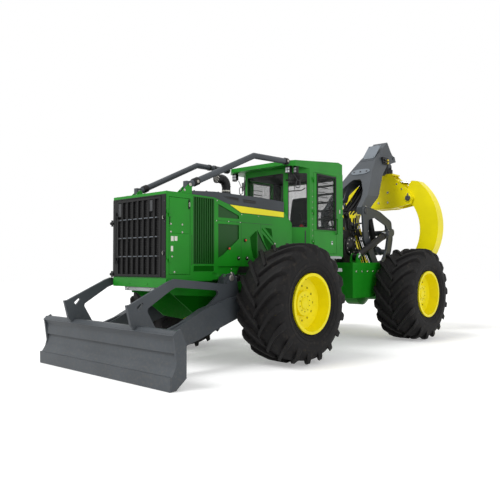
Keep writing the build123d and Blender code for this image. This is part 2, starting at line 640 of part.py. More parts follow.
def cab_door():
    """The left cab door without its pane: a frame, its lower panel and a pull handle."""
    gap = 6
    y0, y1 = DOOR_FRONT_Y + gap, DOOR_REAR_Y - gap
    z0, z1 = DOOR_LOW + gap, DOOR_TOP - gap
    line = [(y0, z0 + 70), (y0 + 120, z0), (y1, z0), (y1, z1), (y0, z1)]
    panel = outline("X", line, CAB_HALF - CAB_WALL + 5, CAB_HALF)
    opening = [(y0 + 105, SILL_Z - 10), (y1 - 30, SILL_Z - 10), (y1 - 30, WINDOW_TOP), (y0 + 105, WINDOW_TOP)]
    panel -= outline("X", opening, CAB_HALF - CAB_WALL, CAB_HALF + 1)
    handle = tube((CAB_HALF + 40, y1 - 20, SILL_Z - 90), (CAB_HALF + 40, y1 - 20, SILL_Z + 180), 12)
    for z in (SILL_Z - 80, SILL_Z + 170):
        handle += tube((CAB_HALF - 2, y1 - 20, z), (CAB_HALF + 40, y1 - 20, z), 10)
    return panel + handle + hinges(CAB_HINGE, CAB_HINGE_LEVELS, (0, 1), (-1, 0))[0]


def door_glass():
    """The left door's pane."""
    gap = 6
    y0, y1 = DOOR_FRONT_Y + gap, DOOR_REAR_Y - gap
    return slab((CAB_HALF - CAB_WALL / 2, CAB_HALF - CAB_WALL / 2 + GLASS), (y0 + 105 + RUN, y1 - 30 - RUN),
                (SILL_Z - 10 + RUN, WINDOW_TOP - RUN))


def cab_roof():
    """The roof slab, thin at the front, highest near the back, with cut corners."""
    side = [(ROOF_FRONT_Y, 3045), (ROOF_FRONT_Y, 3112), (ROOF_PEAK_Y, ROOF_PEAK_Z), (ROOF_REAR_Y, 3180),
            (ROOF_REAR_Y, 3005), (CAB_REAR_Y + 40, 3005), (CAB_REAR_Y + 20, CAB_TOP + RUN),
            (ROOF_FRONT_Y + 60, CAB_TOP + RUN)]
    slab_side = outline("X", side, -ROOF_HALF - 20, ROOF_HALF + 20)
    right = [(ROOF_HALF - 130, ROOF_FRONT_Y), (ROOF_HALF, ROOF_FRONT_Y + 110), (ROOF_HALF, ROOF_REAR_Y - 160),
             (ROOF_HALF - 160, ROOF_REAR_Y)]
    plan = outline("Z", [*right, *[(-x, y) for x, y in reversed(right)]], 2990, ROOF_PEAK_Z + 10)
    return slab_side & plan


def cab_seat():
    """The driver's seat: base, cushion and back."""
    floor = CAB_FLOOR + CAB_WALL + RUN
    seat = slab((-150, 150), (1380, 1680), (floor, floor + 300))
    seat += slab((-240, 240), (1290, 1770), (floor + 290, floor + 420))
    back = outline("X", [(1690, floor + 400), (1790, floor + 400), (1880, floor + 1050), (1800, floor + 1060)],
                   -220, 220)
    return seat + back


def cab_console():
    """The dash under the windscreen, with the wheel on its column."""
    floor = CAB_FLOOR + CAB_WALL + RUN
    dash = outline("X", [(870, floor), (1000, floor), (1040, SILL_Z - 60), (960, SILL_Z + 40), (870, SILL_Z + 40)],
                   -300, 300)
    column = tube((0, 1000, SILL_Z - 40), (0, 1142, SILL_Z + 72), 30)
    wheel = Pos(0, 1140, SILL_Z + 70) * Rot(-52, 0, 0) * Cylinder(180, 24)
    return dash + column + wheel


def brush_guards():
    """The bent tubes from the nose up to the roof's front corners."""
    route = [(560, -1430, 2510), (640, -190, 3075), (672, ROOF_FRONT_Y - 8, 3085)]
    bar = tube(route[0], route[1], 45) + tube(route[1], route[2], 45) + Pos(*route[1]) * Sphere(45)
    foot = slab((520, 590), (-1490, -1400), (NOSE_TOP + RUN, 2560))
    return both(bar + foot)


def roof_lamps():
    """Square work lamps under the roof's front corners."""
    lamp = slab((560, 650), (ROOF_FRONT_Y + 70, ROOF_FRONT_Y + 130), (2920, CAB_TOP))
    second = slab((670, 725), (ROOF_FRONT_Y + 150, ROOF_FRONT_Y + 210), (2920, CAB_TOP))
    return solids_of([lamp, second, across(lamp), across(second)])


def mirrors():
    """Small mirrors on short arms, each with a foot on the cab's slanted corner."""
    corner = Vector(CAB_FRONT_HALF, CAB_FRONT_Y)
    along = (Vector(CAB_HALF, CAB_SIDE_Y) - corner).normalized()
    away = Vector(along.Y, -along.X)
    plan = [corner + along * 8, corner + along * 38, corner + along * 38 + away * 14, corner + along * 8 + away * 14]
    foot = outline("Z", [(c.X, c.Y) for c in plan], 2815, 2845)
    root = corner + along * 23 + away * 8
    arm = tube((root.X, root.Y, 2830), (610, 890, 2830), 8)
    head = outline("Z", [(585, 875), (660, 925), (652, 937), (577, 887)], 2750, 2900)
    return both(foot + arm + head)


def cab_steps():
    """The treads below each cab door, on hangers from the cab floor."""
    hanger = outline("X", [(1230, CAB_FLOOR - RUN), (1300, CAB_FLOOR - RUN), (1300, 1330), (1230, 1330)], 900, 915)
    second = outline("X", [(1480, CAB_FLOOR - RUN), (1550, CAB_FLOOR - RUN), (1550, 1330), (1480, 1330)], 900, 915)
    top = slab((CAB_HALF - 60, 1060), (1230, 1550), (CAB_FLOOR - 35, CAB_FLOOR - RUN))
    low = slab((890, 1070), (1230, 1550), (1310, 1340))
    return both(hanger + second + top + low)


def cab_mounts():
    """The pedestals that hold the cab over the front frame."""
    legs = []
    for y in (950, FRAME_REAR_Y - 120):
        foot = outline("Y", [(RAIL_X - RAIL_T, RAIL_TOP + RUN), (RAIL_X + 60, RAIL_TOP + RUN), (560, CAB_FLOOR - RUN),
                             (RAIL_X - RAIL_T, CAB_FLOOR - RUN)], y, y + 100)
        legs += [foot, across(foot)]
    return solids_of(legs)


def blade():
    """The blade with its end plates, back beams, ring arms and push beams."""
    face = ThreePointArc((0, BLADE_EDGE_Y + 8, 150), (0, -2385, 330), (0, -2440, 640))
    back = ThreePointArc((0, -2440 + BLADE_PLATE + 20, 640), (0, -2385 + BLADE_PLATE, 330),
                         (0, BLADE_EDGE_Y + 8 + BLADE_PLATE, 150))
    rim_line = Wire([face, Edge.make_line(face @ 1, back @ 0), back, Edge.make_line(back @ 1, face @ 0)])
    board = Pos(-BLADE_HALF, 0, 0) * Solid.extrude(Face(rim_line), Vector(2 * BLADE_HALF, 0, 0))
    edge = outline("X", [(BLADE_EDGE_Y, BLADE_GROUND), (BLADE_EDGE_Y + 30, BLADE_GROUND), (BLADE_EDGE_Y + 60, 170),
                         (BLADE_EDGE_Y - 4, 170)], -BLADE_HALF, BLADE_HALF)
    lip = outline("X", [(-2452, 625), (-2330, 625), (-2335, BLADE_TOP - 20), (-2400, BLADE_TOP - 20)],
                  -BLADE_HALF, BLADE_HALF)
    end_line = [(BLADE_EDGE_Y + 20, BLADE_GROUND + 2), (-2403, BLADE_GROUND + 2), (BLADE_BACK_Y, 127),
                (BLADE_BACK_Y, 507), (-2338, BLADE_TOP), (-2440, 640), (-2395, 330)]
    end = outline("X", end_line, BLADE_HALF - 30, BLADE_HALF)
    low_beam = outline("X", [(-2450, 120), (-2270, 150), (-2270, 260), (-2400, 290)], -BLADE_HALF + 10, BLADE_HALF - 10)
    top_beam = outline("X", [(-2400, 420), (-2290, 440), (-2330, 560), (-2400, 600)], -BLADE_HALF + 10, BLADE_HALF - 10)
    whole = board + edge + lip + end + across(end) + low_beam + top_beam
    arm = blade_arm()
    return whole + arm + across(arm)


def blade_arm():
    """The left ring arm and push beam, pierced for the pivot pin."""
    ring = [(HORN_Y, 936), (-2500, 940), (-1909, 1208), (-1814, 1239), (-862, 1151), (-823, 1292), (-727, 1313),
            (-660, 1230), (-600, 960), (-700, 820), (-1400, 700), (-2100, 500), (-2290, 430), (-2380, 560),
            (-2440, 640), (-2486, 694)]
    window = [(-2258, 869), (-1868, 1100), (-1785, 1130), (-962, 1060), (-1197, 876), (-1599, 701), (-1933, 598),
              (-2116, 634)]
    small = [(-2404, 905), (-2325, 968), (-2300, 941), (-2373, 860)]
    plate = outline("X", ring, ARM_IN_X, ARM_OUT_X)
    plate -= outline("X", window, ARM_IN_X - 1, ARM_OUT_X + 1, 40)
    plate -= outline("X", small, ARM_IN_X - 1, ARM_OUT_X + 1, 12)
    beam = outline("X", [(-2300, 200), (-1420, 430), (-1070, 543), (-675, 665), (-440, 760), (-420, 930),
                         (-600, 985), (-840, 955), (-1350, 820), (-1730, 640), (-2300, 430)],
                   BEAM_IN_X, BEAM_OUT_X)
    arm = plate + beam + disc("X", BLADE_PIVOT, BLADE_PIN_R + 75, BEAM_IN_X, BEAM_OUT_X)
    arm -= disc("X", BLADE_PIVOT, BLADE_PIN_R + RUN, BEAM_IN_X - 1, BEAM_OUT_X + 1)
    lug = open_fork("lift", "X", LIFT_EYE, (LIFT_EYE[0] - 60, LIFT_EYE[1] - 60), LIFT_X, 34, 26)
    arm += slab((LIFT_X - 50, ARM_IN_X + 5), (LIFT_EYE[0] - 105, LIFT_EYE[0] - 70), (LIFT_EYE[1] - 100, LIFT_EYE[1] + 20))
    return arm + lug


def arch():
    """The arch: two pierced side plates, cross tubes and the boom's pivots."""
    line = [(3150, 2400), (3180, 2560), (3330, 2570), (3800, 2500), (4262, 2325), (4320, 1972), (4235, 1680),
            (4020, 1400), (3860, 1180), (3640, 1170), (3560, 1380), (3200, 1900)]
    window = [(3330, 2040), (3360, 2330), (3620, 2380), (4060, 2240), (4120, 1960), (4060, 1720), (3900, 1520),
              (3700, 1480)]
    plate = outline("X", line, ARCH_OUT_X - ARCH_T, ARCH_OUT_X, 45)
    plate -= outline("X", window, ARCH_OUT_X - ARCH_T - 1, ARCH_OUT_X + 1, 40)
    plate -= disc("X", ARCH_PIVOT, ARCH_PIN_R + RUN, ARCH_OUT_X - ARCH_T - 1, ARCH_OUT_X + 1)
    rim_out = outline("X", [(3970, 2436), (4262, 2325), (4320, 1972), (4235, 1680), (4020, 1400), (3960, 1440),
                            (4170, 1700), (4250, 1972), (4200, 2280), (3950, 2375)],
                      ARCH_OUT_X - 110, ARCH_OUT_X)
    lug = open_fork("arch", "X", ARCH_RAM_EYE, (ARCH_RAM_EYE[0] + 170, ARCH_RAM_EYE[1] + 40), ARCH_RAM_X, 45, 20)
    lug += slab((ARCH_OUT_X - 5, ARCH_RAM_X + 65), (ARCH_RAM_EYE[0] + 120, ARCH_RAM_EYE[0] + 200),
                (ARCH_RAM_EYE[1] - 40, ARCH_RAM_EYE[1] + 110))
    side = plate + rim_out + lug
    built = side + across(side)
    for centre in (ARCH_UPPER_TUBE, ARCH_LOWER_TUBE):
        built += disc("X", centre, ARCH_TUBE_R, -ARCH_OUT_X + 10, ARCH_OUT_X - 10)
    low = fork("boom", "X", BOOM_RAM_BASE, ARCH_LOWER_TUBE, BOOM_RAM_X, 40)
    built += low + across(low)
    for sign in (1, -1):
        ends = sorted((sign * (BOOM_OUT_X - 110), sign * ARCH_OUT_X))
        built += disc("X", BOOM_PIVOT, BOOM_PIN_R, *ends)
    return built


def boom():
    """The boom: two legs that join in a tapering box, with an arched gap between the legs."""
    side = [(3180, 2430), (3170, 2560), (3400, 2820), (3635, 3100), (3885, 3387), (4188, 3700), (4720, 4125),
            (4886, 3921), (4960, 3860), (5060, 3840), (5080, 3730), (4960, 3700), (4617, 3596), (4250, 3310),
            (3800, 2790), (3600, 2640), (3360, 2420)]
    body = outline("X", side, -BOOM_OUT_X, BOOM_OUT_X)
    half = [(TIP_HALF, 4200), (TIP_HALF, 3800), (190, 3700), (283, 3387), (375, 3100), (BOOM_OUT_X, 2820),
            (BOOM_OUT_X, 2300)]
    front = outline("Y", [*half, *[(-x, z) for x, z in reversed(half)]], 3000, 5200)
    body = body & front
    leg_in = BOOM_OUT_X - 110
    gap = [(-leg_in, 2300), (-leg_in, 2850), (-150, 3150), (-80, 3210), (80, 3210), (150, 3150), (leg_in, 2850),
           (leg_in, 2300)]
    body -= outline("Y", gap, 3000, 5200)
    body -= disc("X", BOOM_PIVOT, BOOM_PIN_R + RUN, -BOOM_OUT_X - 1, BOOM_OUT_X + 1)
    mouth = slab((-TIP_HALF + 45, TIP_HALF - 45), (4800, 5200), (3550, 3870))
    body -= mouth
    body -= disc("X", (GRAPPLE_Y, SWING_Z), 45 + RUN, -TIP_HALF - 60, TIP_HALF + 60)
    lug = open_fork("boom", "X", BOOM_RAM_EYE, (BOOM_RAM_EYE[0] + 120, BOOM_RAM_EYE[1] + 270), BOOM_RAM_X, 40)
    return body + lug + across(lug)


def crosshead():
    """The link under the boom's tip: a crosswise pin above and a lengthwise pin below."""
    half = TIP_HALF - 45 - LAP
    body = disc("X", (GRAPPLE_Y, SWING_Z), 75, -half, half)
    body += disc("X", (GRAPPLE_Y, SWING_Z), 45, -TIP_HALF - 15, TIP_HALF + 15)
    body += outline("Y", [(-70, SWING_Z), (70, SWING_Z), (70, SIDE_PIN_Z), (-70, SIDE_PIN_Z)],
                    GRAPPLE_Y - 55, GRAPPLE_Y + 55)
    body += disc("Y", (0, SIDE_PIN_Z), 70, GRAPPLE_Y - 55, GRAPPLE_Y + 55)
    return body - disc("Y", (0, SIDE_PIN_Z), 35 + RUN, GRAPPLE_Y - 60, GRAPPLE_Y + 60)


def rotator():
    """The rotator's upper half: ears on the lengthwise pin and a round housing."""
    ear_in, ear_out = 55 + LAP, 95
    body = disc("Y", (0, SIDE_PIN_Z), 35, GRAPPLE_Y - ear_out - 10, GRAPPLE_Y + ear_out + 10)
    for low, high in ((ear_in, ear_out), (-ear_out, -ear_in)):
        body += link("Y", (0, SIDE_PIN_Z), (0, ROTOR_TOP - 40), 70, GRAPPLE_Y + low, GRAPPLE_Y + high)
    body += disc("Z", (0, GRAPPLE_Y), ROTOR_R, HEAD_DECK_Z + 10, ROTOR_TOP)
    body += disc("Z", (0, GRAPPLE_Y), 60, HEAD_PEAK_Z + 2, ROTOR_TOP)
    return body


def half_turn(shape):
    """The same shape turned half round about the grapple's upright axis."""
    return shape.rotate(Axis((0, GRAPPLE_Y, 0), (0, 0, 1)), 180)


def grapple_head():
    """The head: two shaped plates, a deck under the rotator, a web, a floor and the tong pins."""
    peak = HEAD_PEAK_Z
    px, pz = TONG_PIVOT
    line = [(0, peak), (190, peak), (250, peak - 60), (540, 3110), (px + 60, pz + 110), (px + 120, pz),
            (px + 60, pz - 130), (430, 2700), (200, 2665), (0, 2665)]
    whole = [*line, *[(-x, z) for x, z in reversed(line[1:-1])]]
    inner, outer = HEAD_HALF_Y - HEAD_PLATE, HEAD_HALF_Y
    head = outline("Y", whole, GRAPPLE_Y + inner, GRAPPLE_Y + outer)
    head += outline("Y", whole, GRAPPLE_Y - outer, GRAPPLE_Y - inner)
    deck = slab((-230, 230), (GRAPPLE_Y - outer, GRAPPLE_Y + outer), (peak - 5, HEAD_DECK_Z))
    head += deck - disc("Z", (0, GRAPPLE_Y), 60 + RUN, peak - 10, HEAD_DECK_Z + 5)
    head += slab((-330, 330), (GRAPPLE_Y - inner - 5, GRAPPLE_Y + inner + 5), (2680, 2760))
    head += slab((-230, 230), (GRAPPLE_Y - 6, GRAPPLE_Y + 6), (2750, peak - 5 - RUN)) - disc(
        "Z", (0, GRAPPLE_Y), 60 + RUN, peak, HEAD_DECK_Z)
    pin = disc("Y", TONG_RAM_BASE, RAMS["tong"][2] * 0.5, GRAPPLE_Y - outer - 10, GRAPPLE_Y)
    head += pin + half_turn(pin)
    for x in (-px, px):
        head += disc("Y", (x, pz), TONG_PIN_R, GRAPPLE_Y - outer - 12, GRAPPLE_Y + outer + 12)
    return head


def tong():
    """The left tong: a curved box from its ear and pivot down to the tip."""
    px, pz = TONG_PIVOT
    ear = TONG_EAR
    outer = [(810, 3225), (1255, 2330), (940, 1420)]
    inner = [(700, 2700), (850, 2218), (610, 1560)]
    tip = (330, 1175)
    edges = [ThreePointArc(*[(x, 0, z) for x, z in outer])]
    edges.append(Edge.make_line((outer[2][0], 0, outer[2][1]), (tip[0], 0, tip[1])))
    edges.append(Edge.make_line((tip[0], 0, tip[1]), (inner[2][0], 0, inner[2][1])))
    edges.append(ThreePointArc(*[(x, 0, z) for x, z in reversed(inner)]))
    edges.append(Edge.make_line((inner[0][0], 0, inner[0][1]), (px, 0, pz - 115)))
    edges.append(Edge.make_line((px, 0, pz - 115), (px - 100, 0, pz)))
    edges.append(Edge.make_line((px - 100, 0, pz), (ear[0] - 95, 0, ear[1])))
    edges.append(Edge.make_line((ear[0] - 95, 0, ear[1]), (ear[0] - 40, 0, ear[1] + 75)))
    edges.append(Edge.make_line((ear[0] - 40, 0, ear[1] + 75), (outer[0][0], 0, outer[0][1])))
    face = Face(Wire(edges))
    body = Pos(0, GRAPPLE_Y + TONG_HALF_Y, 0) * Solid.extrude(face, Vector(0, -2 * TONG_HALF_Y, 0))
    body -= disc("Y", TONG_PIVOT, TONG_PIN_R + RUN, GRAPPLE_Y - 200, GRAPPLE_Y + 200)
    half = TONG_EYE_HALF + LAP
    for degrees in (112, 128, 145, 162, 178):
        angle = math.radians(degrees)
        away = (ear[0] + 300 * math.cos(angle), ear[1] + 300 * math.sin(angle))
        body -= link("Y", ear, away, 92, GRAPPLE_Y - TONG_RAM_Y - half, GRAPPLE_Y - TONG_RAM_Y + half)
    return body


def tong_rams():
    """The left tong's ram, from the far side of the head to the tong's ear."""
    return ram("tong", "Y", TONG_RAM_BASE, TONG_EAR, GRAPPLE_Y - TONG_RAM_Y, TONG_EYE_HALF)


def build():
    """Every piece by its name."""
    made = {
        "front_frame": front_frame(),
        "front_axle": front_axle(),
        "engine_block": engine(),
        "cooler": cooler(),
        "nose_frame": nose(),
        "side_panels": side_panels(),
        "hood_top": hood_top(),
        "intake_stack": stack(),
        "cab_mounts": cab_mounts(),
        "cab_shell": cab_shell(),
        "cab_glass": cab_glass(),
        "cab_roof": cab_roof(),
        "cab_seat": cab_seat(),
        "cab_console": cab_console(),
        "brush_guards": brush_guards(),
        "roof_lamps": roof_lamps(),
        "mirrors": mirrors(),
        "cab_steps": cab_steps(),
        "grille_door": grille_door(),
        "side_door_l": side_door(),
        "side_door_r": across(side_door()),
        "cab_door_l": cab_door(),
        "cab_door_r": across(cab_door()),
        "door_glass_l": door_glass(),
        "door_glass_r": across(door_glass()),
        "blade": blade(),
        "rear_frame": rear_frame(),
        "rear_axle": rear_axle(),
        "winch": winch(),
        "arch": arch(),
        "boom": boom(),
        "crosshead": crosshead(),
        "rotator": rotator(),
        "grapple_head": grapple_head(),
        "tong_l": tong(),
        "tong_r": half_turn(tong()),
    }
    made.update(wheels())
    pairs = [("lift", "X", LIFT_BASE, LIFT_EYE, LIFT_X, 34), ("arch", "X", ARCH_RAM_BASE, ARCH_RAM_EYE, ARCH_RAM_X, 45),
             ("boom", "X", BOOM_RAM_BASE, BOOM_RAM_EYE, BOOM_RAM_X, 40)]
    for kind, axis, base, eye, middle, half in pairs:
        barrel, rod = ram(kind, axis, base, eye, middle, half)
        made[f"{kind}_barrels"] = both(barrel)
        made[f"{kind}_rods"] = both(rod)
    barrel, rod = ram("steer", "Z", STEER_BASE, STEER_EYE, STEER_Z, 40)
    made["steer_barrel_l"], made["steer_rod_l"] = barrel, rod
    made["steer_barrel_r"], made["steer_rod_r"] = across(barrel), across(rod)
    barrel, rod = tong_rams()
    made["tong_barrel_l"], made["tong_rod_l"] = barrel, rod
    made["tong_barrel_r"], made["tong_rod_r"] = half_turn(barrel), half_turn(rod)
    return made


def main():
    """Write each piece to its own file."""
    os.makedirs("parts", exist_ok=True)
    shift = Pos(0, -ORIGIN_Y, 0)
    for name, shape in build().items():
        export_step(shift * shape, f"parts/{name}.step")


if __name__ == "__main__":
    main()
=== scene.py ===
"""Grapple skidder: paint, tyres, fittings and stage round its fixed frame.

Places are in metres from the front axle's centre on the ground: X to the machine's left, Y to
its rear and Z up. at() moves such a place into the frame.
"""

import math

import bmesh
import bpy
from bpy.props import FloatProperty, FloatVectorProperty, IntProperty, PointerProperty
from mathutils import Matrix, Vector


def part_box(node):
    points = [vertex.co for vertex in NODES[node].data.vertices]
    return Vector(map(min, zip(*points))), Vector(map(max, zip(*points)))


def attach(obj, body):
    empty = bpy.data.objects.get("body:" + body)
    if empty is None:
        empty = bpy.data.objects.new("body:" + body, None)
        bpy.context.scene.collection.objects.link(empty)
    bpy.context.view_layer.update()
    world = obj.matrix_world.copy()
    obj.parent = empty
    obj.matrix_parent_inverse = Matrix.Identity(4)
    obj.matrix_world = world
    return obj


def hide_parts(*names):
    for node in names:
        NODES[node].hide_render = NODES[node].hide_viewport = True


bl_info = {
    "name": "Grapple skidder",
    "version": (1, 0, 0),
    "blender": (4, 5, 0),
    "location": "View3D > Sidebar > Skidder",
    "description": "Dresses the frame of a grapple skidder with paint, tyres, fittings and a stage",
    "category": "Object",
}

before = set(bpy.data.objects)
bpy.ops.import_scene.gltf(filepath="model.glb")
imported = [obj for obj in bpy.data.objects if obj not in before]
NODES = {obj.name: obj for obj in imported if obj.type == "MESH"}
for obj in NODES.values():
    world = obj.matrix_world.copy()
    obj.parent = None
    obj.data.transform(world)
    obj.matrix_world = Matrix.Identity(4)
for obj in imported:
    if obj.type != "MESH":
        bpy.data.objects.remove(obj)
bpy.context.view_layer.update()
TYRE_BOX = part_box("tyre_fl")
AXLE_Y = (TYRE_BOX[0].y + TYRE_BOX[1].y) / 2
WHEELBASE = 3.7
TRACK = 1.24
WHEEL_HEIGHT = 0.870
LEFT = (1, 0, 0)
RIGHT = (-1, 0, 0)
FRONT = (0, -1, 0)
REAR = (0, 1, 0)
UP = (0, 0, 1)
DOWN = (0, 0, -1)


def linear(red, green, blue):
    """A colour written as 0 to 255 on screen, as the shaders want it."""
    return tuple(((c / 255 + 0.055) / 1.055) ** 2.4 if c > 10 else c / 3294.6 for c in (red, green, blue))


def toned(colour, share):
    """A colour at a share of its strength."""
    return tuple(c * share for c in colour)


def at(x, y, z):
    """A place from the front axle, in the frame."""
    return Vector((x, y + AXLE_Y, z))


def on_side(points, side):
    """The same places on the left (1) or the right (-1)."""
    return [(side * p.x, p.y, p.z) for p in points]


# Shader maths


class Value:
    """A number that changes over a surface, for use in Python sums."""

    def __init__(self, finish, socket):
        self.finish = finish
        self.socket = socket

    def sum_with(self, operation, first, second=None):
        """A Math node on one or two numbers."""
        settings = {"operation": operation}
        inputs = {0: first}
        if second is not None:
            inputs[1] = second
        return Value(self.finish, self.finish.node("ShaderNodeMath", settings, inputs).outputs[0])

    def __add__(self, other):
        return self.sum_with("ADD", self, other)

    __radd__ = __add__

    def __sub__(self, other):
        return self.sum_with("SUBTRACT", self, other)

    def __rsub__(self, other):
        return self.sum_with("SUBTRACT", other, self)

    def __mul__(self, other):
        return self.sum_with("MULTIPLY", self, other)

    __rmul__ = __mul__

    def __truediv__(self, other):
        return self.sum_with("DIVIDE", self, other)

    def __lt__(self, other):
        return self.sum_with("LESS_THAN", self, other)

    def __gt__(self, other):
        return self.sum_with("GREATER_THAN", self, other)

    def __abs__(self):
        return self.sum_with("ABSOLUTE", self)

    def wave(self, pitch):
        """A wave between -1 and 1 that comes back after each pitch."""
        return self.sum_with("SINE", self * (math.tau / pitch))

    def between(self, low, high):
        """0 below low, 1 above high and even in between."""
        inputs = {"Value": self, "From Min": low, "From Max": high}
        node = self.finish.node("ShaderNodeMapRange", {"interpolation_type": "SMOOTHSTEP"}, inputs)
        return Value(self.finish, node.outputs[0])


class Finish:
    """A material on Object coordinates, and the nodes that vary it."""

    def __init__(self, name):
        self.material = bpy.data.materials.new(name)
        self.material.use_nodes = True
        self.tree = self.material.node_tree
        self.tree.nodes.clear()
        self.shader = self.tree.nodes.new("ShaderNodeBsdfPrincipled")
        self.output = self.tree.nodes.new("ShaderNodeOutputMaterial")
        self.tree.links.new(self.shader.outputs[0], self.output.inputs[0])
        self.place = self.node("ShaderNodeTexCoord", {}, {}).outputs["Object"]
        self.axes = self.node("ShaderNodeSeparateXYZ", {}, {0: self.place})

    def node(self, kind, settings, inputs):
        """Any other node, with its settings and then its sockets' values or links."""
        made = self.tree.nodes.new(kind)
        for name, setting in settings.items():
            setattr(made, name, setting)
        for name, value in inputs.items():
            self.plug(made.inputs[name], value)
        return made

    def plug(self, socket, value):
        """Links a value to a socket, or sets a plain number or colour on it."""
        if isinstance(value, Value):
            value = value.socket
        if isinstance(value, bpy.types.NodeSocket):
            self.tree.links.new(value, socket)
        else:
            socket.default_value = value

    def stretched(self, scale):
        """Object coordinates stretched by a Mapping node."""
        inputs = {"Vector": self.place, "Scale": scale}
        return self.node("ShaderNodeMapping", {}, inputs).outputs[0]

    def noise(self, scale, detail=3, rough=0.5, place=None):
        """Cloudy noise from 0 to 1, with scale grains to the metre."""
        inputs = {"Vector": place or self.place, "Scale": scale, "Detail": detail, "Roughness": rough}
        return Value(self, self.node("ShaderNodeTexNoise", {}, inputs).outputs[0])

    def cells(self, scale):
        """The distance to the nearest of scattered points."""
        inputs = {"Vector": self.place, "Scale": scale}
        return Value(self, self.node("ShaderNodeTexVoronoi", {}, inputs).outputs["Distance"])

    def axis(self, letter):
        """The place along one axis, in metres."""
        return Value(self, self.axes.outputs[letter])

    def stored(self, name):
        """A number that is stored on the piece's points."""
        return Value(self, self.node("ShaderNodeAttribute", {"attribute_name": name}, {}).outputs["Fac"])

    def mix(self, factor, first, second):
        """One colour over another."""
        inputs = {0: factor, 6: self.colour(first), 7: self.colour(second)}
        return self.node("ShaderNodeMix", {"data_type": "RGBA"}, inputs).outputs[2]

    def colour(self, given):
        """A colour as a socket wants it."""
        return (*given, 1) if isinstance(given, tuple) and len(given) == 3 else given

    def set(self, **inputs):
        """Values or links on the shader, with its sockets' names in lower case."""
        for name, value in inputs.items():
            socket = self.shader.inputs[name.replace("_", " ").title().replace("Ior", "IOR")]
            self.plug(socket, self.colour(value))
        return self

    def bump(self, *layers):
        """Bumps of (height, depth in metres, strength), the first one deepest."""
        normal = None
        for height, depth, strength in layers:
            inputs = {"Height": height, "Distance": depth, "Strength": strength}
            if normal is not None:
                inputs["Normal"] = normal
            normal = self.node("ShaderNodeBump", {}, inputs).outputs[0]
        return self.set(normal=normal)


DUST = linear(150, 140, 122)
DUST_TOP = 1.2
FIN_PITCH = 0.006
TUBE_PITCH = 0.024
THREAD_PITCH = 0.0028
FLUTE_PITCH = 0.012
CAB_SLANT = (0.6823, 0.7310)  # how far the corner pane's outward way runs along X and Y


def within(f, x=None, y=None, z=None):
    """1 inside a box from the front axle, 0 outside it, with X measured to either side."""
    result = None
    for letter, limits, shift in (("X", x, 0), ("Y", y, AXLE_Y), ("Z", z, 0)):
        if limits is None:
            continue
        place = abs(f.axis(letter)) if letter == "X" else f.axis(letter)
        part = (place > limits[0] + shift) * (place < limits[1] + shift)
        result = part if result is None else result * part
    return result


def nose_shade_and_hinge(f):
    """Where the nose's sheets face the cooler, with painted shade, and the grille's black hinge in front of
    them.
    """
    inner = within(f, (0, 0.572), (-1.814, -1.2), (1.146, 2.364))
    return (inner + within(f, y=(-2.0, -1.8415))).between(0, 1)


def hood_inside_shade(f):
    """Where the hood's sheets face the engine, with painted shade."""
    return within(f, x=(0, 0.5715))


def panel_recess_shade(f):
    """Where the engine panels are recessed, and the field of their louvres: shade painted into these
    recesses.
    """
    floors = within(f, x=(0.5715, 0.5935)) * within(f, z=(1.41, 2.352))
    field = within(f, (0.57, 0.60), (-1.372, -0.973), (1.43, 2.36)) * 0.8
    return (floors + field).between(0, 1)


def cab_inside_shade(f):
    """Where shade is painted on the inner faces of the cab's walls, floor and roof."""
    slant = abs(f.axis("X")) * CAB_SLANT[0] - (f.axis("Y") - (0.80 + AXLE_Y)) * CAB_SLANT[1]
    return within(f, (0, 0.703), (0.848, 2.013), (1.608, 2.985)) * (slant < 0.45 * CAB_SLANT[0] - 0.044)


def painted(name, colour, gloss=0.34, dust=0.25, shade=0.84, wear=0.0, bare=linear(70, 68, 66),
            inside_shade_mask=None, inside_shade_colour=linear(24, 25, 26), recess_shade_mask=None, sheen=0.3):
    """Sprayed enamel over steel: slow tone, orange peel, dust near the ground and rubbed spots.

    The inside mask marks inner faces where shade is painted in a dark colour, and on the nose also the
    grille's hinge in its own black; the recess mask marks recessed places where shade is painted as
    darker paint.
    """
    f = Finish(name)
    cloud = f.noise(1.6, 4)
    grain = f.noise(26, 6, 0.62)
    fleck = f.noise(310, 2)
    base = f.mix(cloud.between(0.36, 0.66), toned(colour, shade), colour)
    low = (DUST_TOP - f.axis("Z")) / DUST_TOP
    dusty = low.between(0.0, 1.0) * grain.between(0.42, 0.78) * dust
    base = f.mix(dusty, base, DUST)
    rough = gloss + grain * 0.14 + dusty * 0.5
    if wear:
        rubbed = f.noise(9, 9, 0.72).between(0.66 - wear * 0.1, 0.7) * f.noise(1.1, 2).between(0.45, 0.62)
        base = f.mix(rubbed * wear, base, bare)
        rough = rough + rubbed * 0.2
    # Painted shade: in recessed places the paint is mixed towards a much darker tone of its colour.
    if recess_shade_mask:
        base = f.mix(recess_shade_mask(f) * 0.94, base, toned(colour, 0.2))
    # Painted shade: inner faces take a dark colour, and on the nose this mask also gives the grille's hinge
    # its own black.
    if inside_shade_mask:
        base = f.mix(inside_shade_mask(f), base, inside_shade_colour)
        rough = rough + inside_shade_mask(f) * 0.3
    f.set(base_color=base, roughness=rough, specular_ior_level=sheen, coat_weight=0.06, coat_roughness=0.2)
    f.bump((cloud, 0.004, 0.22), (fleck, 0.00025, 0.12))
    return f.material


def make_core(name):
    """The cooler's core: thin upright fins between flat tubes."""
    f = Finish(name)
    fins = f.axis("X").wave(FIN_PITCH)
    tubes = f.axis("Z").wave(TUBE_PITCH).between(0.3, 0.7)
    soil = f.noise(5, 6).between(0.45, 0.75)
    base = f.mix(tubes, linear(14, 14, 15), linear(36, 37, 38))
    f.set(base_color=f.mix(soil * 0.4, base, linear(60, 54, 46)), roughness=0.7)
    f.bump((tubes, 0.003, 0.5), (fins, 0.001, 0.4))
    return f.material


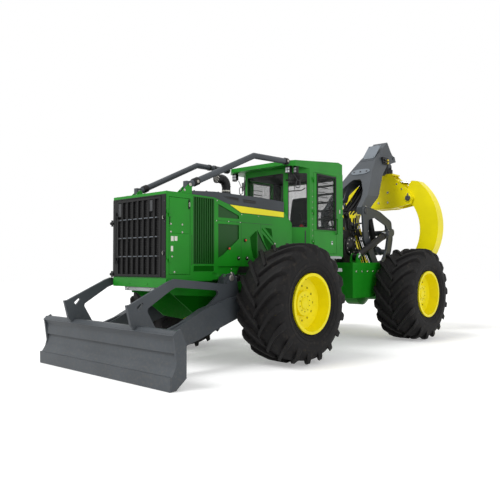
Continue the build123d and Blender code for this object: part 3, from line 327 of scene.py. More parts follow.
def make_label(name):
    """A blank pale label, a little faded."""
    f = Finish(name)
    fade = f.noise(20, 4)
    f.set(base_color=f.mix(fade, linear(214, 212, 200), linear(236, 235, 228)), roughness=0.45 + fade * 0.1)
    f.bump((fade, 0.0004, 0.2))
    return f.material


def make_glass():
    """Tinted safety glass with a thin, streaked film of dust."""
    f = Finish("tinted_glass")
    film = f.noise(5, 7, 0.65).between(0.35, 0.8)
    streak = f.noise(1, 5, 0.6, f.stretched((60, 60, 3))).between(0.4, 0.8)
    haze = film * 0.05 + streak * 0.03
    f.set(base_color=f.mix(haze * 3, linear(16, 30, 25), linear(120, 122, 114)), roughness=0.03 + haze,
          alpha=0.17 + haze, specular_ior_level=0.4)
    return f.material


def make_rubber():
    """Tyre rubber: fine grain, bars rubbed paler and dust in the hollows of the tread."""
    f = Finish("tyre_rubber")
    grain = f.noise(420, 3)
    soil = f.noise(14, 8, 0.66)
    raised = f.stored("raised")
    worn = f.mix(raised * 0.55, linear(17, 16, 17), linear(28, 27, 27))
    dusty = soil.between(0.5, 0.82) * (1 - raised) * 0.3
    f.set(base_color=f.mix(dusty, worn, linear(92, 84, 74)), roughness=0.62 + grain * 0.2 + dusty * 0.2,
          specular_ior_level=0.22)
    f.bump((f.noise(30, 4), 0.002, 0.25), (grain, 0.0004, 0.35))
    return f.material


def make_rod(name, colour):
    """Hard chrome, with the fine marks of its polish."""
    f = Finish(name)
    marks = f.noise(700, 3, 0.6)
    film = f.noise(8, 5).between(0.4, 0.8)
    f.set(base_color=f.mix(film * 0.3, colour, toned(colour, 0.55)), metallic=1.0,
          roughness=0.14 + marks * 0.12 + film * 0.12)
    f.bump((marks, 0.0001, 0.1))
    return f.material


def make_cast(name, colour):
    """Rough cast iron under thin paint, with oily dust."""
    f = Finish(name)
    sand = f.noise(160, 4, 0.7)
    grime = f.noise(7, 8, 0.68).between(0.42, 0.74)
    f.set(base_color=f.mix(grime * 0.7, colour, linear(40, 36, 32)), roughness=0.55 + grime * 0.25)
    f.bump((f.noise(18, 4), 0.002, 0.3), (sand, 0.0008, 0.5))
    return f.material


def make_plastic(name, colour, pebble=900, rough=0.55):
    """Moulded plastic with a pebbled skin."""
    f = Finish(name)
    skin = f.cells(pebble)
    smear = f.noise(6, 5).between(0.4, 0.75)
    f.set(base_color=f.mix(smear * 0.12, colour, linear(84, 80, 74)), roughness=rough + smear * 0.15)
    f.bump((skin, 0.0005, 0.35))
    return f.material


def make_weave(name, colour):
    """Woven seat cloth, its threads one over another."""
    f = Finish(name)
    over = f.axis("X").wave(THREAD_PITCH) * (f.axis("Y") + f.axis("Z")).wave(THREAD_PITCH)
    threads = over * 0.5 + 0.5
    fluff = f.noise(60, 5)
    base = f.mix(threads, toned(colour, 0.6), colour)
    f.set(base_color=f.mix(fluff * 0.2, base, linear(90, 88, 86)), roughness=0.9, sheen_weight=0.25,
          sheen_roughness=0.5)
    f.bump((fluff, 0.0015, 0.2), (threads, 0.0007, 0.6))
    return f.material


def make_lens(name):
    """Moulded lamp lens with square flutes over a bright reflector."""
    f = Finish(name)
    flutes = f.axis("X").wave(FLUTE_PITCH) * f.axis("Z").wave(FLUTE_PITCH)
    f.set(base_color=f.mix(flutes * 0.5 + 0.5, linear(190, 194, 196), linear(240, 242, 243)), roughness=0.12,
          coat_weight=0.6, coat_roughness=0.05)
    f.bump((flutes, 0.001, 0.5))
    return f.material


def make_worn_steel(name, colour):
    """Bare steel that soil has scoured, with long scratches and brown stain."""
    f = Finish(name)
    scratch = f.noise(1, 8, 0.7, f.stretched((40, 400, 7)))
    stain = f.noise(5, 7, 0.65).between(0.45, 0.72)
    f.set(base_color=f.mix(stain * 0.6, colour, linear(84, 66, 52)), metallic=0.75,
          roughness=0.34 + scratch * 0.25 + stain * 0.2)
    f.bump((scratch, 0.0006, 0.4))
    return f.material


def make_finishes(colours):
    """Every finish by its name."""
    green = tuple(colours.green)
    grey = tuple(colours.grey)
    yellow = tuple(colours.yellow)
    return {
        "green": painted("machine_green", green),
        # The nose, panel, cab and hood paints carry painted shade on their inner faces, and the panels also
        # in their recesses.
        "nose_green": painted("nose_green", green, inside_shade_mask=nose_shade_and_hinge),
        "panel_green": painted("panel_green", green, inside_shade_mask=hood_inside_shade, recess_shade_mask=panel_recess_shade),
        "cab_green": painted("cab_green", green, inside_shade_mask=cab_inside_shade, inside_shade_colour=linear(34, 35, 37)),
        # A deep green that stands for shade, painted on the recessed fields and the skirt; it also draws thin
        # seams.
        "dark_green": painted("shaded_green", (green[0] * 0.1, green[1] * 0.36, green[2] * 0.1), gloss=0.65,
                              dust=0.0, sheen=0.06),
        "grey": painted("frame_grey", grey, gloss=0.42, dust=0.14, wear=0.22, bare=linear(104, 102, 100)),
        # Painted shade: the arch wears the frame grey toned down to how it looks in shadow.
        "arch_shaded_grey": painted("arch_shaded_grey", toned(grey, 0.7), gloss=0.42, dust=0.08, wear=0.2),
        "mid_grey": painted("mid_grey", toned(grey, 2.9), gloss=0.4, dust=0.1, wear=0.3),
        "hood_grey": painted("hood_grey", toned(grey, 0.85), gloss=0.5, dust=0.0, inside_shade_mask=hood_inside_shade),
        "rim_bolt": painted("rim_bolt", toned(yellow, 0.45), gloss=0.4, dust=0.1, wear=0.5),
        "core": make_core("cooler_core"),
        "label": make_label("blank_label"),
        "sleeve": make_plastic("yellow_sleeve", linear(232, 206, 20), 500, 0.45),
        "yellow": painted("wheel_yellow", yellow, gloss=0.33, dust=0.1, shade=0.9, wear=0.4,
                          bare=linear(120, 104, 40)),
        "stripe": painted("stripe_yellow", tuple(colours.stripe), gloss=0.3, dust=0.0, shade=0.95),
        "light": painted("light_grey", linear(168, 172, 173), gloss=0.4, wear=0.6, bare=linear(104, 98, 90)),
        "black": painted("trim_black", linear(17, 17, 18), gloss=0.45, dust=0.05, sheen=0.24),
        "satin_black": make_plastic("seal_black", linear(13, 13, 14), 500, 0.5),
        "plastic": make_plastic("cab_plastic", linear(42, 43, 45)),
        "glass": make_glass(),
        "tyre": make_rubber(),
        "rod": make_rod("bright_rod", linear(200, 203, 205)),
        "bolt": make_rod("zinc_bolt", linear(176, 174, 166)),
        "cast": make_cast("cast_iron", linear(64, 66, 68)),
        "fabric": make_weave("seat_fabric", linear(44, 46, 49)),
        "steel": make_worn_steel("scoured_steel", linear(150, 148, 144)),
        "lens": make_lens("lamp_lens"),
        "orange": make_plastic("orange_plastic", linear(222, 84, 38), 700, 0.4),
        "red": make_plastic("red_plastic", linear(190, 32, 30), 700, 0.35),
    }


FINISH = {}


# Mesh pieces


def lift_out(axis, u, v, a):
    """The point at (u, v) in the plane across an axis, a along that axis."""
    return {"X": Vector((a, u, v)), "Y": Vector((u, a, v)), "Z": Vector((u, v, a))}[axis]


def mirror_image(mesh):
    """Turns a bmesh into its mirror image across the machine."""
    bmesh.ops.scale(mesh, vec=(-1, 1, 1), verts=mesh.verts)
    bmesh.ops.reverse_faces(mesh, faces=mesh.faces)


def plain_mesh(holder):
    """The mesh of an object with its curve or its modifier worked out."""
    bpy.context.view_layer.update()
    return bpy.data.meshes.new_from_object(holder.evaluated_get(bpy.context.evaluated_depsgraph_get()))


class Piece:
    """Shapes that become one object, each face with its finish."""

    def __init__(self, name):
        self.name = name
        self.mesh = bmesh.new()
        self.finishes = []

    def slot_of(self, finish):
        """The number of a finish's slot on this piece."""
        if finish not in self.finishes:
            self.finishes.append(finish)
        return self.finishes.index(finish)

    def join(self, part):
        """Adds a bmesh as it is and frees it."""
        loose = bpy.data.meshes.new("part")
        part.to_mesh(loose)
        part.free()
        self.mesh.from_mesh(loose)
        bpy.data.meshes.remove(loose)

    def take(self, part, finish, smooth=False):
        """Adds a bmesh in one finish, its faces turned outwards."""
        bmesh.ops.recalc_face_normals(part, faces=part.faces)
        number = self.slot_of(finish)
        for face in part.faces:
            face.material_index = number
            face.smooth = smooth
        self.join(part)

    def take_mesh(self, mesh, finish, turn=None, smooth=False):
        """Adds a mesh, put in its place by a matrix."""
        part = bmesh.new()
        part.from_mesh(mesh)
        if turn is not None:
            part.transform(turn)
        bpy.data.meshes.remove(mesh)
        self.take(part, finish, smooth)

    def plate(self, axis, points, low, high, finish, bevel=0.003):
        """A plate with this outline, from low to high along an axis."""
        part = bmesh.new()
        corners = [part.verts.new(lift_out(axis, u, v, low)) for u, v in points]
        face = part.faces.new(corners)
        grown = bmesh.ops.extrude_face_region(part, geom=[face])
        moved = [v for v in grown["geom"] if isinstance(v, bmesh.types.BMVert)]
        bmesh.ops.translate(part, verts=moved, vec=lift_out(axis, 0, 0, high - low))
        self.rounded(part, bevel)
        self.take(part, finish)

    def rounded(self, part, bevel):
        """Rounds every edge of a part a little."""
        bmesh.ops.recalc_face_normals(part, faces=part.faces)
        if bevel:
            bmesh.ops.bevel(part, geom=list(part.edges), offset=bevel, segments=2, profile=0.5,
                            affect="EDGES", clamp_overlap=True)

    def block(self, x, y, z, finish, bevel=0.003):
        """A block between two places on each axis."""
        self.plate("Z", [(x[0], y[0]), (x[1], y[0]), (x[1], y[1]), (x[0], y[1])], z[0], z[1], finish, bevel)

    def turned(self, profile, centre, direction, finish, sides=32, smooth=True):
        """A turned shape from (distance along, radius) points."""
        part = bmesh.new()
        rings = []
        for along, radius in profile:
            if radius < 1e-6:
                rings.append([part.verts.new((0, 0, along))])
                continue
            ring = [part.verts.new((radius * math.cos(math.tau * i / sides),
                                    radius * math.sin(math.tau * i / sides), along)) for i in range(sides)]
            rings.append(ring)
        for lower, upper in zip(rings, rings[1:]):
            self.join_rings(part, lower, upper, sides)
        if len(rings[0]) > 1:
            part.faces.new(rings[0])
        if len(rings[-1]) > 1:
            part.faces.new(rings[-1])
        turn = Vector(direction).to_track_quat("Z", "Y").to_matrix().to_4x4()
        part.transform(Matrix.Translation(Vector(centre)) @ turn)
        self.take(part, finish, smooth)

    def join_rings(self, part, lower, upper, sides):
        """Faces between two rings, either of which may be a point."""
        for i in range(sides):
            j = (i + 1) % sides
            if len(lower) == 1 and len(upper) == 1:
                continue
            if len(lower) == 1:
                part.faces.new((lower[0], upper[i], upper[j]))
            elif len(upper) == 1:
                part.faces.new((lower[i], lower[j], upper[0]))
            else:
                part.faces.new((lower[i], lower[j], upper[j], upper[i]))

    def rod(self, start, end, radius, finish, sides=20, edge=0.002):
        """A round bar with eased ends."""
        start, end = Vector(start), Vector(end)
        length = (end - start).length
        edge = min(edge, radius * 0.4, length * 0.3)
        profile = [(0, radius - edge), (edge, radius), (length - edge, radius), (length, radius - edge)]
        self.turned(profile, start, end - start, finish, sides)

    def bolt(self, place, direction, radius, finish="bolt", washer=True):
        """A hexagon head on its washer."""
        away = Vector(direction).normalized()
        start = Vector(place)
        if washer:
            self.turned([(0, radius * 1.5), (radius * 0.25, radius * 1.5), (radius * 0.3, radius * 1.35)],
                        start, away, finish, 16)
        head = [(radius * 0.2, radius * 1.05), (radius * 0.85, radius * 1.05), (radius, radius * 0.85)]
        self.turned(head, start, away, finish, 6, smooth=False)

    def pipe(self, points, radius, finish, sides=14, bend=0.04, closed=False):
        """A bent tube through these points, with round bends."""
        curve = bpy.data.curves.new("route", "CURVE")
        curve.dimensions = "3D"
        line = rounded_route([Vector(p) for p in points], bend, closed)
        spline = curve.splines.new("POLY")
        spline.points.add(len(line) - 1)
        for point, place in zip(spline.points, line):
            point.co = (*place, 1)
        spline.use_cyclic_u = closed
        curve.bevel_depth = radius
        curve.bevel_resolution = max(1, sides // 4 - 1)
        curve.use_fill_caps = not closed
        holder = bpy.data.objects.new("route", curve)
        bpy.context.scene.collection.objects.link(holder)
        mesh = plain_mesh(holder)
        bpy.data.objects.remove(holder)
        bpy.data.curves.remove(curve)
        self.take_mesh(mesh, finish, smooth=True)

    def lay(self, other, turn):
        """Adds another piece's shapes, put in their place by a matrix."""
        numbers = [self.slot_of(finish) for finish in other.finishes]
        for face in other.mesh.faces:
            face.material_index = numbers[face.material_index]
        other.mesh.transform(turn)
        self.join(other.mesh)

    def done(self, body, slot, both_sides=False, replaces=()):
        """The object itself, in the frame, riding on its body."""
        if both_sides:
            twin = self.mesh.copy()
            mirror_image(twin)
            self.join(twin)
        bmesh.ops.translate(self.mesh, vec=at(0, 0, 0), verts=self.mesh.verts)
        data = bpy.data.meshes.new(self.name)
        self.mesh.to_mesh(data)
        self.mesh.free()
        for finish in self.finishes:
            data.materials.append(FINISH[finish])
        made = bpy.data.objects.new(self.name, data)
        bpy.context.scene.collection.objects.link(made)
        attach(made, body)
        if replaces:
            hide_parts(*replaces)
        return made


def rounded_route(points, bend, closed):
    """A route with its corners turned into short arcs."""
    count = len(points)
    line = []
    for i, corner in enumerate(points):
        if not closed and i in (0, count - 1):
            line.append(corner)
            continue
        before, after = points[i - 1], points[(i + 1) % count]
        reach = min(bend, (corner - before).length * 0.45, (after - corner).length * 0.45)
        start = corner + (before - corner).normalized() * reach
        end = corner + (after - corner).normalized() * reach
        for step in range(7):
            t = step / 6
            line.append(start.lerp(corner, t).lerp(corner.lerp(end, t), t))
    return line


# Repeats by Geometry Nodes


def repeat_tree(name, round_axle):
    """A node tree that repeats one shape in a row, or round the X axis."""
    tree = bpy.data.node_groups.new(name, "GeometryNodeTree")
    tree.interface.new_socket("Geometry", in_out="OUTPUT", socket_type="NodeSocketGeometry")
    tree.interface.new_socket("Shape", in_out="INPUT", socket_type="NodeSocketObject")
    tree.interface.new_socket("Count", in_out="INPUT", socket_type="NodeSocketInt")
    tree.interface.new_socket("Step", in_out="INPUT", socket_type="NodeSocketVector")
    tree.interface.new_socket("Finish", in_out="INPUT", socket_type="NodeSocketMaterial")
    nodes, links = tree.nodes, tree.links
    given, result = nodes.new("NodeGroupInput"), nodes.new("NodeGroupOutput")
    points, number = nodes.new("GeometryNodePoints"), nodes.new("GeometryNodeInputIndex")
    step = nodes.new("ShaderNodeVectorMath")
    step.operation = "SCALE"
    links.new(given.outputs["Step"], step.inputs[0])
    links.new(number.outputs[0], step.inputs["Scale"])
    links.new(given.outputs["Count"], points.inputs["Count"])
    shape = nodes.new("GeometryNodeObjectInfo")
    links.new(given.outputs["Shape"], shape.inputs["Object"])
    placed = nodes.new("GeometryNodeInstanceOnPoints")
    links.new(points.outputs[0], placed.inputs["Points"])
    links.new(shape.outputs["Geometry"], placed.inputs["Instance"])
    if round_axle:
        links.new(step.outputs[0], placed.inputs["Rotation"])
    else:
        links.new(step.outputs[0], points.inputs["Position"])
    real, paint = nodes.new("GeometryNodeRealizeInstances"), nodes.new("GeometryNodeSetMaterial")
    links.new(placed.outputs[0], real.inputs[0])
    links.new(real.outputs[0], paint.inputs["Geometry"])
    links.new(given.outputs["Finish"], paint.inputs["Material"])
    links.new(paint.outputs[0], result.inputs[0])
    return tree


TREES = {}


def repeated(kind, shape, count, step, finish):
    """Copies of a Piece's shape as one mesh: kind is "row" or "round"."""
    if kind not in TREES:
        TREES[kind] = repeat_tree(kind, kind == "round")
    tree = TREES[kind]
    data = bpy.data.meshes.new("one")
    shape.mesh.to_mesh(data)
    shape.mesh.free()
    one = bpy.data.objects.new("one", data)
    holder = bpy.data.objects.new("many", bpy.data.meshes.new("many"))
    for made in (one, holder):
        bpy.context.scene.collection.objects.link(made)
    values = {"Shape": one, "Count": count, "Step": step, "Finish": FINISH[finish]}
    modifier = holder.modifiers.new("repeat", "NODES")
    modifier.node_group = tree
    for item in tree.interface.items_tree:
        if item.in_out == "INPUT":
            modifier[item.identifier] = values[item.name]
    mesh = plain_mesh(holder)
    holder.modifiers.clear()
    for made in (holder, one):
        bpy.data.objects.remove(made)
    return mesh


# Tyres and wheels

CORNERS = (("fl", 1, 0.0), ("fr", -1, 0.0), ("rl", 1, WHEELBASE), ("rr", -1, WHEELBASE))


BEAD_R = 0.4063
CARCASS = [  # from the crown to the bead: distance from the middle, radius
    (0.0, 0.822), (0.13, 0.820), (0.24, 0.812), (0.305, 0.796), (0.345, 0.768), (0.370, 0.725),
    (0.384, 0.672), (0.387, 0.618), (0.380, 0.560), (0.362, 0.505), (0.345, 0.470), (0.338, 0.448),
    (0.330, 0.440), (0.318, 0.434), (0.300, 0.420), (0.300, BEAD_R),
]
INNER_WALL = [
    (-0.26, BEAD_R), (-0.30, 0.52), (-0.32, 0.62), (-0.28, 0.74), (0.0, 0.77), (0.28, 0.74),
    (0.32, 0.62), (0.30, 0.52), (0.26, BEAD_R),
]
WALL_RINGS = [  # radius, place across, half width
    (0.588, 0.3841, 0.006), (0.522, 0.3705, 0.005), (0.486, 0.3555, 0.005),
]
TREAD_FLOOR = 0.825
TREAD_DEPTH = 0.04
LUG_STATIONS = [  # share of the turn, across, foot radius, top radius, half width
    (0.00, -0.020, 0.815, 0.858, 0.030),
    (0.06, 0.000, 0.815, 0.8695, 0.036),
    (0.30, 0.090, 0.812, 0.8699, 0.036),
    (0.56, 0.190, 0.806, 0.868, 0.038),
    (0.78, 0.280, 0.792, 0.860, 0.041),
    (0.92, 0.345, 0.760, 0.838, 0.045),
    (0.98, 0.372, 0.715, 0.790, 0.048),
    (1.00, 0.380, 0.665, 0.735, 0.044),
    (1.00, 0.379, 0.640, 0.690, 0.034),
]
LUG_SLOPE = 0.012
LUG_EDGE = 0.006
SHOULDER = 0.3
TYRE_HALF = 0.3872


def make_lug(sizes, side):
    """One bar of the tread, round the X axis."""
    lug = Piece("lug")
    part = bmesh.new()
    rows = []
    for share, across, foot, top, half in LUG_STATIONS:
        turn = share * math.radians(sizes.lug_sweep)
        low, high = half + LUG_SLOPE, half - 0.004
        root, face = foot - 0.004, top - LUG_EDGE
        proud = across + (0.0035 if across > SHOULDER else 0.0)
        row = []
        for width, radius, x in ((-low, root, across), (-high, face, proud), (-high + 0.008, top, proud),
                                 (high - 0.008, top, proud), (high, face, proud), (low, root, across)):
            angle = turn + width / radius
            x = side * min(x, TYRE_HALF)
            row.append(part.verts.new((x, radius * math.sin(angle), radius * math.cos(angle))))
        rows.append(row)
    for first, second in zip(rows, rows[1:]):
        for k in range(len(first) - 1):
            part.faces.new((first[k], first[k + 1], second[k + 1], second[k]))
    part.faces.new(rows[0])
    part.faces.new(rows[-1])
    lug.take(part, "tyre")
    return lug


def make_tyres(sizes):
    """The four tyres: a smooth carcass with rings on its wall and two rows of bars."""
    for name, side, y in CORNERS:
        tyre = Piece("lugged_tyre_" + name)
        ring = CARCASS[::-1] + [(-x, r) for x, r in CARCASS[1:]] + INNER_WALL
        spin_closed(tyre, ring, 120, "tyre")
        for row_side, phase in ((1, 0.0), (-1, math.pi / sizes.lugs)):
            turn = (side * math.tau / sizes.lugs, 0, 0)
            mesh = repeated("round", make_lug(sizes, row_side), sizes.lugs, turn, "tyre")
            tyre.take_mesh(mesh, "tyre", Matrix.Rotation(phase, 4, "X"))
        for radius, x, width in WALL_RINGS:
            top = x + 0.003
            rib = [(x - 0.01, radius - width), (top, radius - width * 0.6), (top, radius + width * 0.6),
                   (x - 0.01, radius + width)]
            for wall in (1, -1):
                spin_closed(tyre, [(wall * across, r) for across, r in rib], 96, "tyre")
        if side < 0:
            mirror_image(tyre.mesh)
        raised = tyre.mesh.verts.layers.float.new("raised")
        for v in tyre.mesh.verts:
            v[raised] = min(1, max(0, (math.hypot(v.co.y, v.co.z) - TREAD_FLOOR) / TREAD_DEPTH))
        bmesh.ops.translate(tyre.mesh, vec=(side * TRACK, y, WHEEL_HEIGHT), verts=tyre.mesh.verts)
        tyre.done("wheel_" + name, "tyre_rubber", replaces=("tyre_" + name,))


def spin_closed(piece, ring, sides, finish):
    """A closed section turned round the X axis, as a ring with no ends."""
    part = bmesh.new()
    rows = []
    for i in range(sides):
        angle = math.tau * i / sides
        rows.append([part.verts.new((x, r * math.sin(angle), r * math.cos(angle))) for x, r in ring])
    for i in range(sides):
        first, second = rows[i], rows[(i + 1) % sides]
        for k in range(len(ring)):
            j = (k + 1) % len(ring)
            part.faces.new((first[k], first[j], second[j], second[k]))
    piece.take(part, finish, smooth=True)


HUB_CAP = [(0.213, 0.088), (0.222, 0.088), (0.228, 0.08), (0.232, 0.05), (0.234, 0.0)]
HUB_SCREWS = 10


def make_wheel_fittings(sizes):
    """The studs round each rim's disc, the hub's bolts and cap, and the valve."""
    for name, side, y in CORNERS:
        piece = Piece("wheel_bolts_" + name)
        groups = [  # count, radius, place across, bolt radius
            (sizes.rim_studs, 0.325, 0.152, 0.0105),
            (sizes.wheel_bolts, 0.250, 0.160, 0.012),
            (HUB_SCREWS, 0.118, 0.215, 0.007),
        ]
        for count, radius, x, size in groups:
            one = Piece("stud")
            one.bolt((x, 0, radius), LEFT, size)
            finish = "rim_bolt" if radius < 0.3 else "black"
            mesh = repeated("round", one, count, (math.tau / count, 0, 0), finish)
            piece.take_mesh(mesh, finish)
        piece.turned(HUB_CAP, (0, 0, 0), LEFT, "yellow", 40)
        piece.rod((0.17, 0.03, 0.352), (0.215, 0.03, 0.345), 0.009, "black", 12)
        if side < 0:
            mirror_image(piece.mesh)
        bmesh.ops.translate(piece.mesh, vec=(side * TRACK, y, WHEEL_HEIGHT), verts=piece.mesh.verts)
        piece.done("wheel_" + name, "bright_rod")


# Bodywork


def make_stripes():
    """The yellow band along each side of the hood, with its thin black edge."""
    piece = Piece("side_stripes")
    face = 0.5953
    edge = [(-0.681, 2.301), (-0.425, 2.190), (0.585, 2.183), (0.586, 2.279)]
    band = [(-0.664, 2.299), (-0.421, 2.196), (0.580, 2.189), (0.580, 2.272)]
    piece.plate("X", edge, face, face + 0.0012, "black", 0)
    piece.plate("X", band, face + 0.0012, face + 0.002, "stripe", 0)
    piece.done("front", "wheel_yellow", both_sides=True)


ARM_REST_X = 0.285
BELLOWS_FOLDS = 7
BELLOWS_STEP = 0.026


def make_seat():
    """The driver's seat: cloth cushions on a sprung base, with arm rests."""
    cushions = [  # name, lower corner, upper corner
        ("seat_cushion", (-0.25, 1.29, 1.905), (0.25, 1.76, 2.035)),
        ("seat_back", (-0.225, 1.70, 2.03), (0.225, 1.81, 2.66)),
    ]
    for name, low, high in cushions:
        part = bmesh.new()
        bmesh.ops.create_cube(part, size=1)
        bmesh.ops.subdivide_edges(part, edges=list(part.edges), cuts=7, use_grid_fill=True)
        size = [b - a for a, b in zip(low, high)]
        middle = [(a + b) / 2 for a, b in zip(low, high)]
        thin = size.index(min(size))
        for v in part.verts:
            u = [2 * c for c in v.co]
            others = [k for k in range(3) if k != thin]
            edge = max(abs(u[k]) for k in others)
            crown = 1 - 0.55 * edge ** 4
            channel = 0.94 + 0.06 * abs(math.cos(u[others[1]] * 2.4 * math.pi))
            bolster = 1 + 0.22 * min(1, max(0, (abs(u[0]) - 0.62) / 0.3))
            u[thin] *= crown * channel * bolster * 0.82
            pull = 1 - 0.03 * u[others[0]] ** 2 * u[others[1]] ** 2
            place = [m + c * s / 2 * pull for m, c, s in zip(middle, u, size)]
            if name == "seat_back":
                place[1] += (place[2] - low[2]) * 0.16
            v.co = place
        cushion = Piece(name)
        cushion.take(part, "fabric", smooth=True)
        made = cushion.done("front", "seat_fabric")
        modifier = made.modifiers.new("soft", "SUBSURF")
        modifier.levels = modifier.render_levels = 2
    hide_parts("cab_seat")
    base = Piece("seat_base")
    base.block((-0.16, 0.16), (1.38, 1.68), (1.611, 1.63), "plastic")
    base.block((-0.12, 0.12), (1.40, 1.66), (1.63, 1.70), "plastic", 0.01)
    for level in range(BELLOWS_FOLDS):
        z = 1.70 + level * BELLOWS_STEP
        grow = 0.012 if level % 2 else 0.0
        x, y = (-0.11 - grow, 0.11 + grow), (1.41 - grow, 1.65 + grow)
        base.block(x, y, (z, z + 0.024), "satin_black", 0.006)
    base.block((-0.22, 0.22), (1.32, 1.74), (1.882, 1.905), "plastic", 0.006)
    knob = [(0, 0.016), (0.012, 0.024), (0.04, 0.026), (0.06, 0.018), (0.066, 0.0)]
    for side in (1, -1):
        x = side * ARM_REST_X
        base.block((x - 0.035, x + 0.035), (1.42, 1.78), (2.15, 2.20), "plastic", 0.015)
        base.rod((x, 1.74, 1.90), (x, 1.74, 2.16), 0.018, "plastic")
        base.rod((side * 0.22, 1.74, 1.90), (x, 1.74, 1.90), 0.018, "plastic")
        base.rod((x, 1.46, 2.19), (x, 1.43, 2.29), 0.014, "satin_black")
        base.turned(knob, (x, 1.432, 2.28), (0, -0.2, 1), "satin_black", 16)
    base.done("front", "cab_plastic")


# Places found on the frame

VIEWS = {  # a letter and sign: where the line starts, and its way
    "+X": lambda u, v: ((3, u, v), RIGHT),
    "-Y": lambda u, v: ((u, -6, v), REAR),
    "+Z": lambda u, v: ((u, v, 6), DOWN),
}


def spot_on(node, view, u, v):
    """The outermost place of a node in one of its views, from the front axle, and the way off it."""
    start, way = VIEWS[view](u, v)
    thing = NODES[node]
    back = thing.matrix_world.inverted()
    hit, place, _, _ = thing.ray_cast(back @ at(*start), back.to_3x3() @ Vector(way))
    if not hit:
        raise ValueError("nothing of " + node + " at " + str((view, u, v)))
    return thing.matrix_world @ place - at(0, 0, 0), -Vector(way)


def spread(first, last, count):
    """Places in a row, both ends included."""
    steps = max(1, count - 1)
    return [tuple(a + (b - a) * i / steps for a, b in zip(first, last)) for i in range(count)]


FASTENERS = [  # piece, body, node, view, first place, last place, count, radius, finish, both sides
    ("hood_bolts", "front", "side_panels", "+X", (-0.93, 2.050), (-0.44, 2.050), 3, 0.0065, "bolt", True),
    ("hood_bolts", "front", "side_panels", "+X", (-0.92, 2.337), (-0.92, 2.337), 1, 0.007, "bolt", True),
    ("hood_bolts", "front", "side_panels", "+X", (-0.411, 2.170), (-0.035, 2.166), 2, 0.0065, "bolt", True),
    ("hood_bolts", "front", "side_panels", "+X", (0.755, 2.02), (0.755, 1.60), 3, 0.0065, "green", True),
    ("hood_bolts", "front", "hood_top", "+Z", (0.565, -1.33), (0.565, 0.53), 9, 0.011, "black", True),
    ("hood_bolts", "front", "hood_top", "+Z", (0.10, 0.53), (0.10, 0.53), 1, 0.011, "black", True),
    ("nose_bolts", "front", "nose_frame", "+Z", (0.10, -1.80), (0.55, -1.80), 3, 0.010, "bolt", True),
    ("nose_bolts", "front", "nose_frame", "-Y", (0.20, 1.165), (0.50, 1.165), 2, 0.007, "green", True),
    ("roof_bolts", "front", "cab_roof", "+Z", (0.66, 0.80), (0.66, 2.05), 6, 0.012, "black", True),
    ("cab_bolts", "front", "cab_shell", "+X", (1.150, 1.72), (1.150, 2.66), 11, 0.006, "bolt", True),
    ("cab_bolts", "front", "cab_shell", "+X", (1.99, 1.72), (1.99, 2.80), 5, 0.007, "green", True),
    ("cab_bolts", "front", "cab_shell", "-Y", (0.10, 2.07), (0.40, 2.07), 3, 0.008, "bolt", True),
    ("rear_bolts", "rear", "rear_frame", "+X", (2.42, 1.30), (3.20, 1.30), 5, 0.014, "bolt", True),
    ("head_bolts", "head_body", "grapple_head", "-Y", (0.115, 3.03), (0.115, 2.81), 2, 0.016, "bolt", True),
    ("head_bolts", "head_body", "grapple_head", "-Y", (0.33, 3.20), (0.45, 3.08), 2, 0.013, "bolt", True),
]
PIN_HEADS = [  # piece, body, node, view, place, radius, finish, both sides
    ("arch_pins", "arch_body", "arch", "+X", (3.255, 2.485), 0.060, "cast", True),
    ("arch_pins", "arch_body", "arch", "+X", (3.880, 2.048), 0.045, "cast", True),
    ("rear_pins", "rear", "rear_frame", "+X", (2.756, 1.569), 0.045, "rod", True),
    ("frame_pins", "front", "front_frame", "+X", (-0.520, 0.860), 0.065, "steel", True),
    ("blade_pins", "blade_body", "blade", "+X", (-0.770, 1.235), 0.045, "steel", True),
    ("frame_pins", "front", "front_frame", "+X", (0.210, 1.215), 0.045, "steel", True),
    ("head_pins", "head_body", "grapple_head", "-Y", (0.600, 2.870), 0.060, "cast", True),
    ("head_ram_pins", "head_body", "grapple_head", "-Y", (-0.110, 3.350), 0.040, "cast", False),
]


def make_fasteners():
    """The bolts in rows and the pins' heads, each on the surface that the frame has there."""
    groups = {}
    for name, body, node, view, first, last, count, radius, finish, both in FASTENERS:
        piece = groups.setdefault(name, (Piece(name), body, both))[0]
        for place in spread(first, last, count):
            piece.bolt(*spot_on(node, view, *place), radius, finish)
    for name, body, node, view, place, radius, finish, both in PIN_HEADS:
        piece = groups.setdefault(name, (Piece(name), body, both))[0]
        centre, away = spot_on(node, view, *place)
        head = [(-0.004, radius), (0.010, radius), (0.014, radius * 0.9), (0.014, radius * 0.3), (0.010, 0.0)]
        piece.turned(head, centre, away, finish, 28)
        beside = Vector(UP) * (radius + 0.028)
        piece.bolt(centre + beside, away, 0.012)
        strap = Vector(UP) * radius * 0.5
        piece.rod(centre + strap + away * 0.014, centre + beside + away * 0.009, 0.008, finish, 8)
    for piece, body, both in groups.values():
        piece.done(body, "bright_rod", both_sides=both)


def pair(name, bodies, slot, build):
    """One piece on each side, the right one a mirror image, each on its own body."""
    for letter, body in zip("lr", bodies):
        piece = Piece(name + "_" + letter)
        build(piece)
        if letter == "r":
            mirror_image(piece.mesh)
        piece.done(body, slot)


def bars(piece, axis, first, last, count, shape, finish):
    """A row of one small shape, moved along an axis from first to last."""
    one = Piece("one")
    shape(one)
    step = Vector({"X": LEFT, "Y": REAR, "Z": UP}[axis]) * (last - first) / max(1, count - 1)
    mesh = repeated("row", one, count, step, finish)
    piece.take_mesh(mesh, finish, Matrix.Translation(step.normalized() * first))


# Nose

